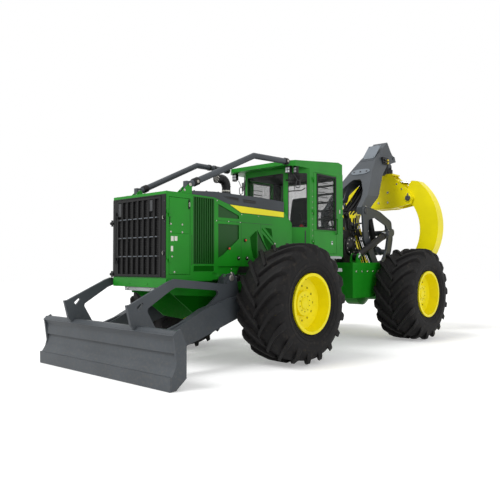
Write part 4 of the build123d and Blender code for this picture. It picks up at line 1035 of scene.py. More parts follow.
GRILLE_FACE = -1.855
GRILLE_HALF = 0.499
GRILLE_LOW = 1.261
GRILLE_HIGH = 2.329
GRILLE_COLUMNS = 8
GRILLE_ROWS = 4
GRILLE_WIRE_R = 0.0022
GRILLE_WIRES_UP = 60
GRILLE_WIRES_ACROSS = 44
CATCH_LEVELS = (1.579, 2.043)
KNOB_LEVELS = (1.288, 2.018)
SIDE = 0.595
HINGE_X = -0.612
HINGE_Y = -1.853
DOOR_SCREWS = [
    (-1.762, 1.96), (-1.762, 1.857), (-1.566, 1.96), (-1.565, 1.857), (-1.74, 1.53), (-1.70, 1.325),
]
DOOR_LABELS = [
    ((-1.762, -1.715), (1.735, 1.80)), ((-1.700, -1.652), (1.74, 1.80)), ((-1.762, -1.725), (1.60, 1.67)),
]


def make_grille_surround():
    """The black border beside the grille and along its top, with its bolts and catches."""
    piece = Piece("grille_surround")
    back = GRILLE_FACE + 0.0148
    for side in (1, -1):
        edges = sorted((side * 0.506, side * 0.592))
        piece.block(edges, (back - 0.011, back), (GRILLE_LOW - 0.008, GRILLE_HIGH + 0.012), "black", 0.003)
        for z in (1.33, 1.60, 1.99, 2.26):
            piece.bolt((side * 0.572, back - 0.011, z), FRONT, 0.006, "cast")
    top = (GRILLE_HIGH + 0.006, GRILLE_HIGH + 0.022)
    piece.block((-0.592, 0.592), (back - 0.008, back), top, "black", 0.002)
    for z in CATCH_LEVELS:
        x, face = 0.552, back - 0.011
        piece.turned([(0, 0.030), (0.006, 0.030), (0.009, 0.024)], (x, face, z), FRONT, "black", 24)
        arc = [(x + 0.012 - 0.022 * math.cos(a), face - 0.012, z + 0.024 * math.sin(a))
               for a in [math.radians(d) for d in range(-70, 71, 20)]]
        piece.pipe(arc, 0.005, "bolt", 8, 0.01)
    piece.done("front", "trim_black")


def make_grille():
    """Fairings on the grille's ribs, clips where they cross the bars, a fine mesh and two plates."""
    piece = Piece("grille_fairings")
    pitch_x = (2 * GRILLE_HALF - 0.04) / GRILLE_COLUMNS
    pitch_z = (GRILLE_HIGH - GRILLE_LOW - 0.04) / GRILLE_ROWS
    first = -GRILLE_HALF + 0.02 + pitch_x
    last = GRILLE_HALF - 0.02 - pitch_x
    low, high = GRILLE_LOW + 0.03, GRILLE_HIGH - 0.03

    def rib(one):
        foot, crest = GRILLE_FACE + 0.002, GRILLE_FACE - 0.008
        plan = [(-0.014, foot), (-0.007, crest), (0.007, crest), (0.014, foot)]
        one.plate("Z", plan, low, high, "satin_black", 0.002)

    bars(piece, "X", first, last, GRILLE_COLUMNS - 1, rib, "black")
    for row in range(1, GRILLE_ROWS):
        z = GRILLE_LOW + 0.02 + row * pitch_z

        def clip(one):
            y = (GRILLE_FACE - 0.003, GRILLE_FACE + 0.001)
            for x in ((0.020, 0.062), (-0.062, -0.020)):
                one.block(x, y, (z - 0.004, z + 0.004), "cast", 0.001)

        bars(piece, "X", first, last, GRILLE_COLUMNS - 1, clip, "mid_grey")

    def wire(one):
        y = GRILLE_FACE + 0.024
        one.rod((0, y, low), (0, y, high), GRILLE_WIRE_R, "black", 6)

    def level_wire(one):
        y = GRILLE_FACE + 0.021
        reach = GRILLE_HALF - 0.03
        one.rod((-reach, y, 0), (reach, y, 0), GRILLE_WIRE_R, "black", 6)

    bars(piece, "X", -GRILLE_HALF + 0.04, GRILLE_HALF - 0.04, GRILLE_WIRES_UP, wire, "satin_black")
    bars(piece, "Z", low, high, GRILLE_WIRES_ACROSS, level_wire, "satin_black")
    for x, z in (((-0.462, -0.392), (2.10, 2.29)), ((0.235, 0.318), (2.14, 2.29))):
        piece.block(x, (GRILLE_FACE + 0.004, GRILLE_FACE + 0.007), z, "cast", 0.001)
    piece.done("grille", "trim_black")


def make_nose_fittings():
    """The pan below the nose, the grille's hinges, and the doors' pulls, screws and blank labels."""
    piece = Piece("nose_fittings")
    piece.block((-0.33, 0.33), (-1.830, -1.708), (1.066, 1.1198), "light", 0.004)
    for x in (-0.25, 0.25):
        piece.bolt((x, -1.830, 1.092), FRONT, 0.010)
    knob = [(0, 0.012), (0.01, 0.022), (0.02, 0.022), (0.026, 0.012)]
    for z in KNOB_LEVELS:
        piece.block((-0.618, -0.575), (-1.866, -1.8401), (z - 0.018, z + 0.018), "black", 0.004)
        piece.rod((HINGE_X, HINGE_Y, z - 0.045), (HINGE_X, HINGE_Y, z + 0.045), 0.013, "black")
        piece.turned(knob, (-0.618, HINGE_Y, z), RIGHT, "black", 16)
    for x in ((-0.5965, -0.5945), (0.5945, 0.5965)):
        piece.block(x, (-1.398, -1.391), (1.42, 1.83), "satin_black", 0)
    piece.done("front", "trim_black")

    def on_door(door):
        door.block((SIDE, SIDE + 0.005), (-1.462, -1.436), (2.175, 2.305), "black", 0.002)
        loop = ((-1.456, 2.212), (-1.441, 2.212), (-1.441, 2.266), (-1.456, 2.266))
        door.pipe([(SIDE + 0.012, y, z) for y, z in loop], 0.0042, "bolt", 8, 0.012, closed=True)
        door.block((SIDE, SIDE + 0.003), (-1.785, -1.776), (1.95, 2.05), "black", 0.001)
        for y, z in DOOR_SCREWS:
            door.bolt((SIDE, y, z), LEFT, 0.009)
        for y, z in DOOR_LABELS:
            door.block((SIDE, SIDE + 0.0012), y, z, "label", 0)
        door.block((SIDE, SIDE + 0.0009), (-1.768, -1.446), (1.838, 1.842), "dark_green", 0)

    pair("nose_door_pulls", ("nose_door_l", "nose_door_r"), "trim_black", on_door)


# Hood and engine panels

SUNK_FIELDS = [
    [(-0.229, 1.845), (-0.092, 1.943), (-0.068, 1.93), (-0.068, 1.47), (-0.154, 1.53), (-0.195, 1.640)],
    [(0.109, 2.002), (0.273, 1.995), (0.305, 1.836)],
    [(0.030, 1.925), (0.055, 1.908), (0.100, 1.775), (0.235, 1.60), (0.261, 1.677), (0.294, 1.742)],
    [(-1.368, 1.330), (-0.977, 1.326), (-0.977, 1.412), (-1.368, 1.412)],
]
HOOD_VENTS = [
    [(-0.705, 2.384), (-0.474, 2.362), (-0.474, 2.412), (-0.796, 2.416)],
    [(-0.376, 2.357), (-0.092, 2.352), (-0.092, 2.398), (-0.390, 2.408)],
]
SEAMS = [
    ((-0.960, 0.300), (2.050, 2.055)), ((-0.422, -0.418), (1.410, 2.051)), ((0.016, 0.021), (1.410, 2.051)),
]
SKIRT_FOOT = [(-0.300, 0.720), (-0.700, 0.580), (-1.080, 0.660)]
SKIRT_FACE = 0.3985


def make_panel_fittings():
    """Vents, seams, recessed fields, skirt, apron, the slanting rib and the knobs of the engine's panels.

    Shade is painted on the recessed fields and on the skirt's lower part.
    """
    piece = Piece("panel_fittings")
    for points in SUNK_FIELDS:
        # Painted shade: a dark green sheet on each recessed field's floor.
        piece.plate("X", points, SIDE, SIDE + 0.0008, "dark_green", 0)
        piece.pipe([(SIDE, y, z) for y, z in points], 0.0035, "green", 6, 0.02, closed=True)
    for points in HOOD_VENTS:
        piece.plate("X", points, SIDE, SIDE + 0.0016, "satin_black", 0)
        piece.pipe([(SIDE, y, z) for y, z in points], 0.004, "hood_grey", 6, 0.02, closed=True)
        low, high = max(points[0][1], points[1][1]) + 0.006, min(points[2][1], points[3][1]) - 0.004
        y0, y1 = points[0][0] + 0.012, points[1][0] - 0.012
        for z in (low, high):
            piece.block((SIDE, SIDE + 0.006), (y0, y1), (z - 0.0015, z + 0.0015), "black", 0.001)
    for (y0, y1), (z0, z1) in SEAMS:
        piece.block((SIDE, SIDE + 0.0008), (y0, y1), (z0, z1), "satin_black", 0)
    skirt = [(-1.690, 1.118), (-0.300, 1.135), *SKIRT_FOOT, (-1.560, 1.010)]
    piece.plate("X", skirt, SKIRT_FACE - 0.008, SKIRT_FACE, "green", 0.002)
    # Painted shade: a dark green sheet over the skirt's lower part, under the nose.
    shaded = [(-1.560, 1.010), (-0.300, 0.930), *SKIRT_FOOT]
    piece.plate("X", shaded, SKIRT_FACE, SKIRT_FACE + 0.0015, "dark_green", 0)
    apron = [(-1.012, 1.398), (-0.430, 1.398), (-0.520, 1.250), (-1.012, 1.205)]
    piece.plate("X", apron, 0.560, 0.568, "green", 0.002)
    for y in (-0.95, -0.60):
        piece.bolt((0.568, y, 1.36), LEFT, 0.008)
    piece.rod((SIDE, 0.056, 1.982), (SIDE, 0.339, 1.765), 0.013, "green")
    piece.bolt((SIDE, 0.352, 1.755), LEFT, 0.012)
    collar = [(0, 0.026), (0.010, 0.026), (0.014, 0.021)]
    knob = [(0.008, 0.016), (0.026, 0.016), (0.031, 0.011), (0.031, 0.0)]
    for place in ((0.583, -0.674, 1.659), (SIDE, -0.338, 1.790)):
        piece.turned(collar, place, LEFT, "black", 24)
        piece.turned(knob, place, LEFT, "orange", 20)
    cup = [(0, 0.030), (0.008, 0.030), (0.012, 0.024), (0.012, 0.016)]
    nut = [(0.006, 0.015), (0.020, 0.015), (0.024, 0.010), (0.024, 0.0)]
    for y in (-0.479, -0.295):
        piece.turned(cup, (SIDE, y, 1.521), LEFT, "black", 24)
        piece.turned(nut, (SIDE, y, 1.521), LEFT, "bolt", 6, smooth=False)
    piece.done("front", "machine_green", both_sides=True)


# Intake, brush guards and lamps

STACK_X = 0.30
STACK_Y = -0.44
STACK_CROWN = 2.715
STACK_BEND = 0.105
STACK_MOUTH = -0.65
STACK_R = 0.065
STACK_GRID_R = 0.060
STACK_GRID_PITCH = 0.016
STACK_RIBS = 9


def hoop(half, inner, outer):
    """The section of a flat band round a pipe."""
    return [(-half, inner), (-half, outer), (half, outer), (half, inner)]


def make_intake():
    """The ribs of the intake pipe's bend, its white band, and the ring and wires of its mouth."""
    piece = Piece("intake_ribs")
    profile = [(-0.007, STACK_R - 0.001), (-0.004, STACK_R + 0.006), (0.004, STACK_R + 0.006),
               (0.007, STACK_R - 0.001)]
    for i in range(STACK_RIBS):
        turn = math.radians(90 * i / (STACK_RIBS - 1))
        centre = Vector((STACK_X, STACK_Y - STACK_BEND * (1 - math.cos(turn)),
                         STACK_CROWN - STACK_BEND * (1 - math.sin(turn))))
        way = Vector((0, -math.sin(turn), math.cos(turn)))
        piece.turned(profile, centre, way, "satin_black", 36)
    for z, finish, wide, out in ((2.54, "label", 0.011, 0.0035), (2.505, "cast", 0.009, 0.007)):
        piece.turned(hoop(wide, STACK_R, STACK_R + out), (STACK_X, STACK_Y, z), UP, finish, 36)
    clamp_y = STACK_Y - STACK_R - 0.012
    piece.rod((STACK_X + 0.02, clamp_y, 2.505), (STACK_X - 0.03, clamp_y, 2.505), 0.006, "bolt", 10)
    piece.turned([(0, STACK_R), (0, STACK_R + 0.006), (0.014, STACK_R + 0.006), (0.014, STACK_R)],
                 (STACK_X, STACK_MOUTH + 0.002, STACK_CROWN), REAR, "satin_black", 36)
    for i in range(-3, 4):
        off = i * STACK_GRID_PITCH
        reach = math.sqrt(STACK_GRID_R ** 2 - off ** 2)
        for ends in (((off, -reach), (off, reach)), ((-reach, off), (reach, off))):
            a, b = [(STACK_X + x, STACK_MOUTH + 0.003, STACK_CROWN + z) for x, z in ends]
            piece.rod(a, b, 0.0018, "bolt", 6)
    piece.done("front", "trim_black")


GUARD = [Vector((0.560, -1.430, 2.510)), Vector((0.640, -0.190, 3.075)), Vector((0.672, 0.592, 3.085))]
GUARD_R = 0.045


def make_guard_fittings():
    """The green ears and pins at the guards' feet, and their clamps and collars."""
    piece = Piece("guard_fittings")
    foot, bend, head = GUARD
    low, high = (bend - foot).normalized(), (head - bend).normalized()
    ear = [(-1.60, 2.3905), (-1.40, 2.3905), (-1.395, 2.500), (-1.44, 2.535), (-1.475, 2.500)]
    pin = [(0, 0.024), (0.012, 0.024), (0.016, 0.018)]
    for x in (0.512, 0.594):
        piece.plate("X", ear, x - 0.006, x + 0.006, "green", 0.002)
        piece.turned(pin, (x + 0.006, -1.437, 2.51), LEFT, "bolt", 20)
        piece.bolt((x + 0.006, -1.53, 2.43), LEFT, 0.011)
    clamps = [  # middle, way, half length, radius
        (foot + low * 0.135, low, 0.045, GUARD_R + 0.011),
        (head - high * 0.055, high, 0.034, GUARD_R + 0.010),
    ]
    for centre, way, wide, radius in clamps:
        profile = [(-wide, radius - 0.012), (-wide, radius - 0.002), (-wide + 0.003, radius),
                   (wide - 0.003, radius), (wide, radius - 0.002), (wide, radius - 0.012)]
        piece.turned(profile, centre, way, "black", 32)
        piece.bolt(centre + Vector((radius - 0.002, 0, 0)), LEFT, 0.014)
    piece.done("front", "frame_grey", both_sides=True)
    collars = Piece("guard_collars")
    for reach in (0.29, 0.42):
        middle = bend + high * reach
        collars.turned(hoop(0.018, GUARD_R - 0.004, GUARD_R + 0.007), (-middle.x, middle.y, middle.z),
                       (-high.x, high.y, high.z), "black", 32)
    collars.done("front", "trim_black")


LAMP_FACES = [  # X range, Z range, front place
    ((0.560, 0.650), (2.925, 3.015), 0.670),
    ((0.670, 0.725), (2.925, 3.015), 0.750),
]


def make_lamps():
    """The four bright cells of each work lamp, the mirror's wire loop and the bracket above it."""
    piece = Piece("lamp_cells")
    for (x0, x1), (z0, z1), y in LAMP_FACES:
        piece.block((x0 - 0.002, x1 + 0.002), (y - 0.004, y), (z0 - 0.002, z1 + 0.002), "black", 0.002)
        half_x, half_z = (x1 - x0) / 2, (z1 - z0) / 2
        for i in (0, 1):
            for k in (0, 1):
                cell_x = (x0 + i * half_x + 0.005, x0 + (i + 1) * half_x - 0.005)
                cell_z = (z0 + k * half_z + 0.005, z0 + (k + 1) * half_z - 0.005)
                piece.block(cell_x, (y - 0.008, y - 0.003), cell_z, "lens", 0.002)
    loop = [(0.600, 0.891, 2.700), (0.688, 0.891, 2.700), (0.688, 0.891, 2.818), (0.612, 0.891, 2.818)]
    piece.pipe(loop, 0.007, "cast", 10, 0.03, closed=True)
    piece.rod((0.640, 0.891, 2.818), (0.622, 0.800, 2.925), 0.006, "cast", 10)
    piece.done("front", "trim_black", both_sides=True)


# Cab

CAB_CORNER = Vector((0.450, 0.800, 0))
CAB_ALONG = (Vector((0.750, 1.080, 0)) - CAB_CORNER).normalized()
CAB_AWAY = Vector((CAB_ALONG.y, -CAB_ALONG.x, 0))
CORNER_WIDE = 0.4104
CORNER_EDGE = 0.050
WINDOW_SLATS = 6
STEP_BARS = (1.262, 1.322, 1.382, 1.442, 1.502)


def on_corner(along, z, out):
    """A place on the cab's slanted left corner."""
    return CAB_CORNER + CAB_ALONG * along + CAB_AWAY * out + Vector((0, 0, z))


def make_cab_fittings():
    """Window seals, wipers, the slats over the rear window, the cab's trim and the lit step edges."""
    piece = Piece("window_seals")
    seals = [
        [(-0.402, 0.806, 2.109), (0.402, 0.806, 2.109), (0.402, 0.806, 2.946), (-0.402, 0.806, 2.946)],
        [(-0.626, 2.054, 2.009), (0.626, 2.054, 2.009), (0.626, 2.054, 2.946), (-0.626, 2.054, 2.946)],
    ]
    near, far = CORNER_EDGE, CORNER_WIDE - CORNER_EDGE
    ring = [on_corner(a, z, -0.008) for a, z in ((near, 2.049), (far, 2.049), (far, 2.946), (near, 2.946))]
    for side in (1, -1):
        seals.append(on_side(ring, side))
    for seal in seals:
        piece.pipe(seal, 0.009, "satin_black", 8, 0.03, closed=True)
    sweep = [on_corner(*place) for place in ((0.10, 3.0, 0.012), (0.13, 2.86, 0.016), (0.16, 2.66, 0.014))]
    blade = [on_corner(*place) for place in ((0.055, 2.645, 0.007), (0.27, 2.66, 0.007), (0.33, 2.70, 0.007))]
    for side in (1, -1):
        piece.pipe(on_side(sweep, side), 0.006, "satin_black", 8)
        piece.pipe(on_side(blade, side), 0.009, "satin_black", 8, 0.08)
    piece.done("front", "trim_black")

    slats = Piece("rear_window_slats")
    for x in (0.629, 0.13):
        slats.block((x - 0.011, x + 0.011), (2.0603, 2.0863), (2.005, 2.960), "light", 0.002)

    def slat(one):
        section = [(2.0623, 0.0), (2.0843, 0.034), (2.0843, 0.042), (2.0623, 0.008)]
        one.plate("X", section, 0.13, 0.62, "light", 0.001)

    bars(slats, "Z", 2.090, 2.845, WINDOW_SLATS, slat, "light")
    slats.done("front", "light_grey")

    trim = Piece("cab_trim")
    trim.block((0.64, 0.70), (1.02, 1.14), (1.62, 2.0), "plastic", 0.01)
    bottle = [(0, 0.05), (0.02, 0.06), (0.24, 0.06), (0.28, 0.035), (0.30, 0.02)]
    trim.turned(bottle, (0.56, 1.10, 1.80), UP, "red", 24)
    trim.block((0.7502, 0.7560), (1.940, 1.975), (2.33, 2.40), "bolt", 0.003)
    trim.done("front", "cab_plastic", both_sides=True)

    steps = Piece("step_edges")
    steps.block((1.046, 1.066), (1.235, 1.545), (1.340, 1.366), "light", 0.002)
    for y in STEP_BARS:
        steps.block((0.91, 1.045), (y, y + 0.020), (1.340, 1.347), "light", 0.002)
        steps.block((0.79, 1.045), (y, y + 0.020), (1.5598, 1.566), "light", 0.002)
    steps.done("front", "light_grey", both_sides=True)


DOOR_Y = (1.291, 1.826)
DOOR_Z = (2.035, 2.950)
DOOR_FACE = 0.7502
SCREEN_WIRE_R = 0.0016
SCREEN_WIRES_UP = 24
SCREEN_WIRES_ACROSS = 40
DOOR_SLATS = (2.50, 2.58, 2.66, 2.74, 2.82)


def make_door_fittings():
    """The frame, wire mesh and slats before each cab door's pane, and the door's lock and seam."""

    def build(door):
        y0, y1 = DOOR_Y
        z0, z1 = DOOR_Z
        face = DOOR_FACE
        whole = (y0 - 0.020, y1 + 0.020)
        for y, z in ((whole, (z1 - 0.012, z1 + 0.018)), (whole, (z0 - 0.018, z0 + 0.012)),
                     ((y0 - 0.020, y0 + 0.012), (z0, z1)), ((y1 - 0.012, y1 + 0.020), (z0, z1))):
            door.block((face, face + 0.009), y, z, "black", 0.002)

        def upright(one):
            one.rod((face + 0.004, 0, z0), (face + 0.004, 0, z1), SCREEN_WIRE_R, "black", 6)

        def level(one):
            one.rod((face + 0.006, y0, 0), (face + 0.006, y1, 0), SCREEN_WIRE_R, "black", 6)

        bars(door, "Y", y0 + 0.02, y1 - 0.02, SCREEN_WIRES_UP, upright, "black")
        bars(door, "Z", z0 + 0.02, z1 - 0.02, SCREEN_WIRES_ACROSS, level, "black")
        for z in (z0 + 0.02, z1 - 0.02):
            for y in (y0, (y0 + y1) / 2, y1):
                door.bolt((face + 0.009, y, z), LEFT, 0.007, "cast")
        for z in DOOR_SLATS:
            door.block((face + 0.001, face + 0.007), (y0, y0 + 0.30), (z - 0.006, z + 0.006), "black", 0.001)
        door.block((face, face + 0.003), (1.700, 1.740), (1.775, 1.835), "rod", 0.002)
        door.turned([(0, 0.010), (0.008, 0.010), (0.008, 0.0)], (face + 0.003, 1.72, 1.815), LEFT, "cast", 12)
        door.block((face, face + 0.0009), (1.20, 1.84), (1.995, 1.999), "dark_green", 0)

    pair("door_screens", ("entry_door_l", "entry_door_r"), "trim_black", build)


# Arch, boom and grapple

ARCH_PLATE = 0.500
ARCH_LINE = [(3.150, 2.400), (3.180, 2.560), (3.330, 2.570), (3.800, 2.500), (4.262, 2.325), (4.320, 1.972),
             (4.235, 1.680), (4.020, 1.400), (3.860, 1.180), (3.640, 1.170), (3.560, 1.380), (3.200, 1.900)]
ARCH_WINDOW = [(3.330, 2.040), (3.360, 2.330), (3.620, 2.380), (4.060, 2.240), (4.120, 1.960), (4.060, 1.720),
               (3.900, 1.520), (3.700, 1.480)]


def make_arch_fittings():
    """The beads round the arch's plates, and the clamped hoses inside and between them."""
    piece = Piece("arch_beads")
    for line in (ARCH_LINE, ARCH_WINDOW):
        piece.pipe([(ARCH_PLATE, y, z) for y, z in line], 0.009, "grey", 8, 0.05, closed=True)
    for k in range(3):
        x = 0.395 - k * 0.032
        route = [(x, 3.62, 1.42), (x, 3.30, 1.90), (x, 3.16, 2.28), (x, 3.20, 2.40)]
        piece.pipe(route, 0.011, "satin_black", 8, 0.12)
        for a, b in ((0.30, 0.62), (0.78, 0.90)):
            start = Vector(route[1]).lerp(Vector(route[2]), a)
            end = Vector(route[1]).lerp(Vector(route[2]), b)
            piece.rod(start, end, 0.0145, "sleeve" if k < 1 else "satin_black", 12)
    for y, z in ((3.30, 1.90), (3.18, 2.24)):
        piece.block((0.318, 0.462), (y - 0.020, y + 0.020), (z - 0.014, z + 0.014), "cast", 0.003)
    for k in range(8):
        x = -0.28 + k * 0.075
        back = 0.05 * (k % 2)
        route = [(x, 3.66, 1.35), (x, 3.42 + back, 1.80), (x, 3.24 + back, 2.12), (x, 3.22 + back, 2.36)]
        piece.pipe(route, 0.016, "satin_black", 8, 0.12)
        if k % 3 == 1:
            piece.rod((x, 3.36 + back, 1.912), (x, 3.30 + back, 2.015), 0.019, "sleeve", 12)
    piece.block((-0.32, 0.30), (3.245, 3.330), (2.10, 2.125), "cast", 0.003)
    piece.done("arch_body", "frame_grey", both_sides=True)


BOOM_FACE = (Vector((0, 3.400, 2.820)), Vector((0, 4.188, 3.700)))


def on_boom(along):
    """A frame on the boom's front face: X across it, Y up its slope and Z away from it."""
    start, end = BOOM_FACE
    up = (end - start).normalized()
    turn = Matrix((Vector(LEFT), up, Vector(LEFT).cross(up))).transposed().to_4x4()
    return Matrix.Translation(start + up * along) @ turn


BOOM_SHIELD = [
    (3.44, 2.520), (3.62, 2.600), (3.82, 2.755), (4.26, 3.180), (4.26, 3.192), (3.82, 2.767), (3.61, 2.612),
    (3.43, 2.532),
]
OVAL_SIDES = 28
BOOM_HOSES = 7
VALVES = 4


def make_boom_fittings():
    """The boom's cover plates and weld bead, its shield and hoses, and the valve block with its own."""
    piece = Piece("boom_plates")
    cover = Piece("cover")
    oval = []
    for i in range(OVAL_SIDES):
        a = math.tau * i / OVAL_SIDES
        oval.append((0.165 * math.cos(a) + math.copysign(0.06, math.cos(a)), 0.085 * math.sin(a)))
    cover.plate("Z", oval, 0.0, 0.010, "mid_grey", 0.003)
    for x in (-0.15, 0.0, 0.15):
        cover.bolt((x, 0, 0.010), UP, 0.014, "cast")
    piece.lay(cover, on_boom(0.745) @ Matrix.Translation((0, 0, 0.0175)))
    patch = Piece("patch")
    patch.block((-0.15, 0.15), (-0.14, 0.30), (0.0, 0.008), "mid_grey", 0.003)
    for x in (-0.125, 0.125):
        for y in (-0.11, 0.27):
            patch.bolt((x, y, 0.008), UP, 0.008, "cast")
    piece.lay(patch, on_boom(1.33))
    bead = Piece("bead")
    bead.rod((-0.165, 0, 0.0), (0.165, 0, 0.0), 0.008, "grey", 8)
    piece.lay(bead, on_boom(1.13))
    piece.plate("X", BOOM_SHIELD, -0.198, 0.198, "black", 0)
    for k in range(BOOM_HOSES):
        x = (k - 3) * 0.058
        low = 0.012 * (k % 3)
        route = [(x, 3.375 + low, 2.47 - low), (x, 3.62 + low, 2.66 - low), (x, 3.80 + low, 2.81 - low),
                 (x * 0.75, 4.20 + low, 3.23 - low), (x * 0.5, 4.40, 3.38 - low)]
        piece.pipe(route, 0.017, "satin_black", 8, 0.12)
    piece.block((0.172, 0.235), (4.42, 4.66), (3.60, 3.76), "black", 0.006)
    x = 0.2035
    for k in range(VALVES):
        y = 4.45 + k * 0.058
        piece.rod((x, y, 3.60), (x, y, 3.572), 0.016, "cast", 6)
        route = [(x, y, 3.59), (x, y, 3.45), (x, y - 0.10, 3.36), (0.172, y - 0.22, 3.44 - k * 0.02)]
        piece.pipe(route, 0.012, "satin_black", 8, 0.1)
    plug = [(0, 0.018), (0.03, 0.018), (0.034, 0.010)]
    for z in (3.64, 3.70):
        piece.turned(plug, (0.235, 4.50, z), LEFT, "cast", 16)
        piece.turned(plug, (0.235, 4.60, z), LEFT, "sleeve", 16)
    piece.done("boom_body", "frame_grey")


GRAPPLE_FACE = 4.83


def make_head_fittings():
    """The bosses round the tong pins on the grapple's head, and the weld beads."""
    piece = Piece("head_bosses")
    boss = [(-0.001, 0.084), (0.010, 0.084), (0.013, 0.079), (0.013, 0.052)]
    for x in (0.60, -0.60):
        piece.turned(boss, (x, GRAPPLE_FACE, 2.870), FRONT, "yellow", 36)
    beads = (((-0.43, 2.705), (0.43, 2.705)), ((0.245, 3.37), (0.53, 3.12)), ((-0.245, 3.37), (-0.53, 3.12)))
    for ends in beads:
        a, b = [(x, GRAPPLE_FACE, z) for x, z in ends]
        piece.rod(a, b, 0.006, "yellow", 8)
    piece.done("head_body", "wheel_yellow")


WINCH_BOLTS = 10
DECK_HOSES = 4
DECK = 1.4653


def make_rear_fittings():
    """The winch's cover and bolts, and the hoses on the rear deck."""
    piece = Piece("winch_fittings")
    centre = (2.890, 1.7853)
    cover = [(0, 0.185), (0.012, 0.185), (0.020, 0.170), (0.020, 0.075), (0.034, 0.068), (0.034, 0.0)]
    piece.turned(cover, (0.380, *centre), LEFT, "black", 40)
    one = Piece("one")
    one.bolt((0.400, 0, 0.145), LEFT, 0.011)
    ring = repeated("round", one, WINCH_BOLTS, (math.tau / WINCH_BOLTS, 0, 0), "bolt")
    piece.take_mesh(ring, "bolt", Matrix.Translation((0, *centre)))
    for side in (1, -1):
        for dy, dz in ((-0.20, -0.22), (0.20, -0.22), (-0.14, 0.24)):
            piece.bolt((side * 0.280, centre[0] + dy, centre[1] + dz), (side, 0, 0), 0.014)
    for k in range(DECK_HOSES):
        x = -0.36 - k * 0.032
        top = 1.58 + k * 0.02
        route = [(x, 2.88, 1.470), (x, 2.88, top), (x + 0.02, 2.71, top), (x + 0.02, 2.70, DECK)]
        piece.pipe(route, 0.013, "satin_black", 8, 0.07)
    piece.block((-0.490, -0.325), (2.82, 2.94), (DECK, 1.53), "black", 0.004)
    piece.done("rear", "frame_grey")


PAINT = {  # a finish, and the nodes that wear it
    "green": ("side_door_l", "side_door_r", "cab_roof", "cab_door_l", "cab_door_r", "cab_mounts",
              "front_frame", "rear_frame", "front_axle", "rear_axle"),
    "nose_green": ("nose_frame",),
    "panel_green": ("side_panels",),
    "cab_green": ("cab_shell",),
    "core": ("cooler",),
    "grey": ("blade", "boom", "brush_guards", "crosshead"),
    "arch_shaded_grey": ("arch",),
    "hood_grey": ("hood_top",),
    "yellow": ("grapple_head", "tong_l", "tong_r", "rim_fl", "rim_fr", "rim_rl", "rim_rr", "tong_barrel_l",
               "tong_barrel_r"),
    "black": ("grille_door", "roof_lamps", "mirrors", "winch", "rotator", "intake_stack", "steer_barrel_l",
              "steer_barrel_r", "lift_barrels", "arch_barrels", "boom_barrels"),
    "light": ("cab_steps",),
    "rod": ("lift_rods", "arch_rods", "boom_rods", "steer_rod_l", "steer_rod_r", "tong_rod_l", "tong_rod_r"),
    "glass": ("cab_glass", "door_glass_l", "door_glass_r"),
    "cast": ("engine_block",),
    "plastic": ("cab_console", "cab_seat"),
    "tyre": ("tyre_fl", "tyre_fr", "tyre_rl", "tyre_rr"),
}


def paint_nodes():
    """Puts its finish on every node of the frame that shows."""
    for finish, names in PAINT.items():
        for name in names:
            for slot in NODES[name].material_slots:
                slot.material = FINISH[finish]


FLOOR_GLOW = 0.32
LIGHTS = [  # name, turn about X and Z in degrees, strength, angle
    ("key_light", 38, -20, 1.9, 24),
    ("fill_light", 62, 75, 0.7, 40),
]
CAMERA_PLACE = (6.427, -6.586, 1.417)
CAMERA_TILT = 91.52
CAMERA_TURN = 42.52


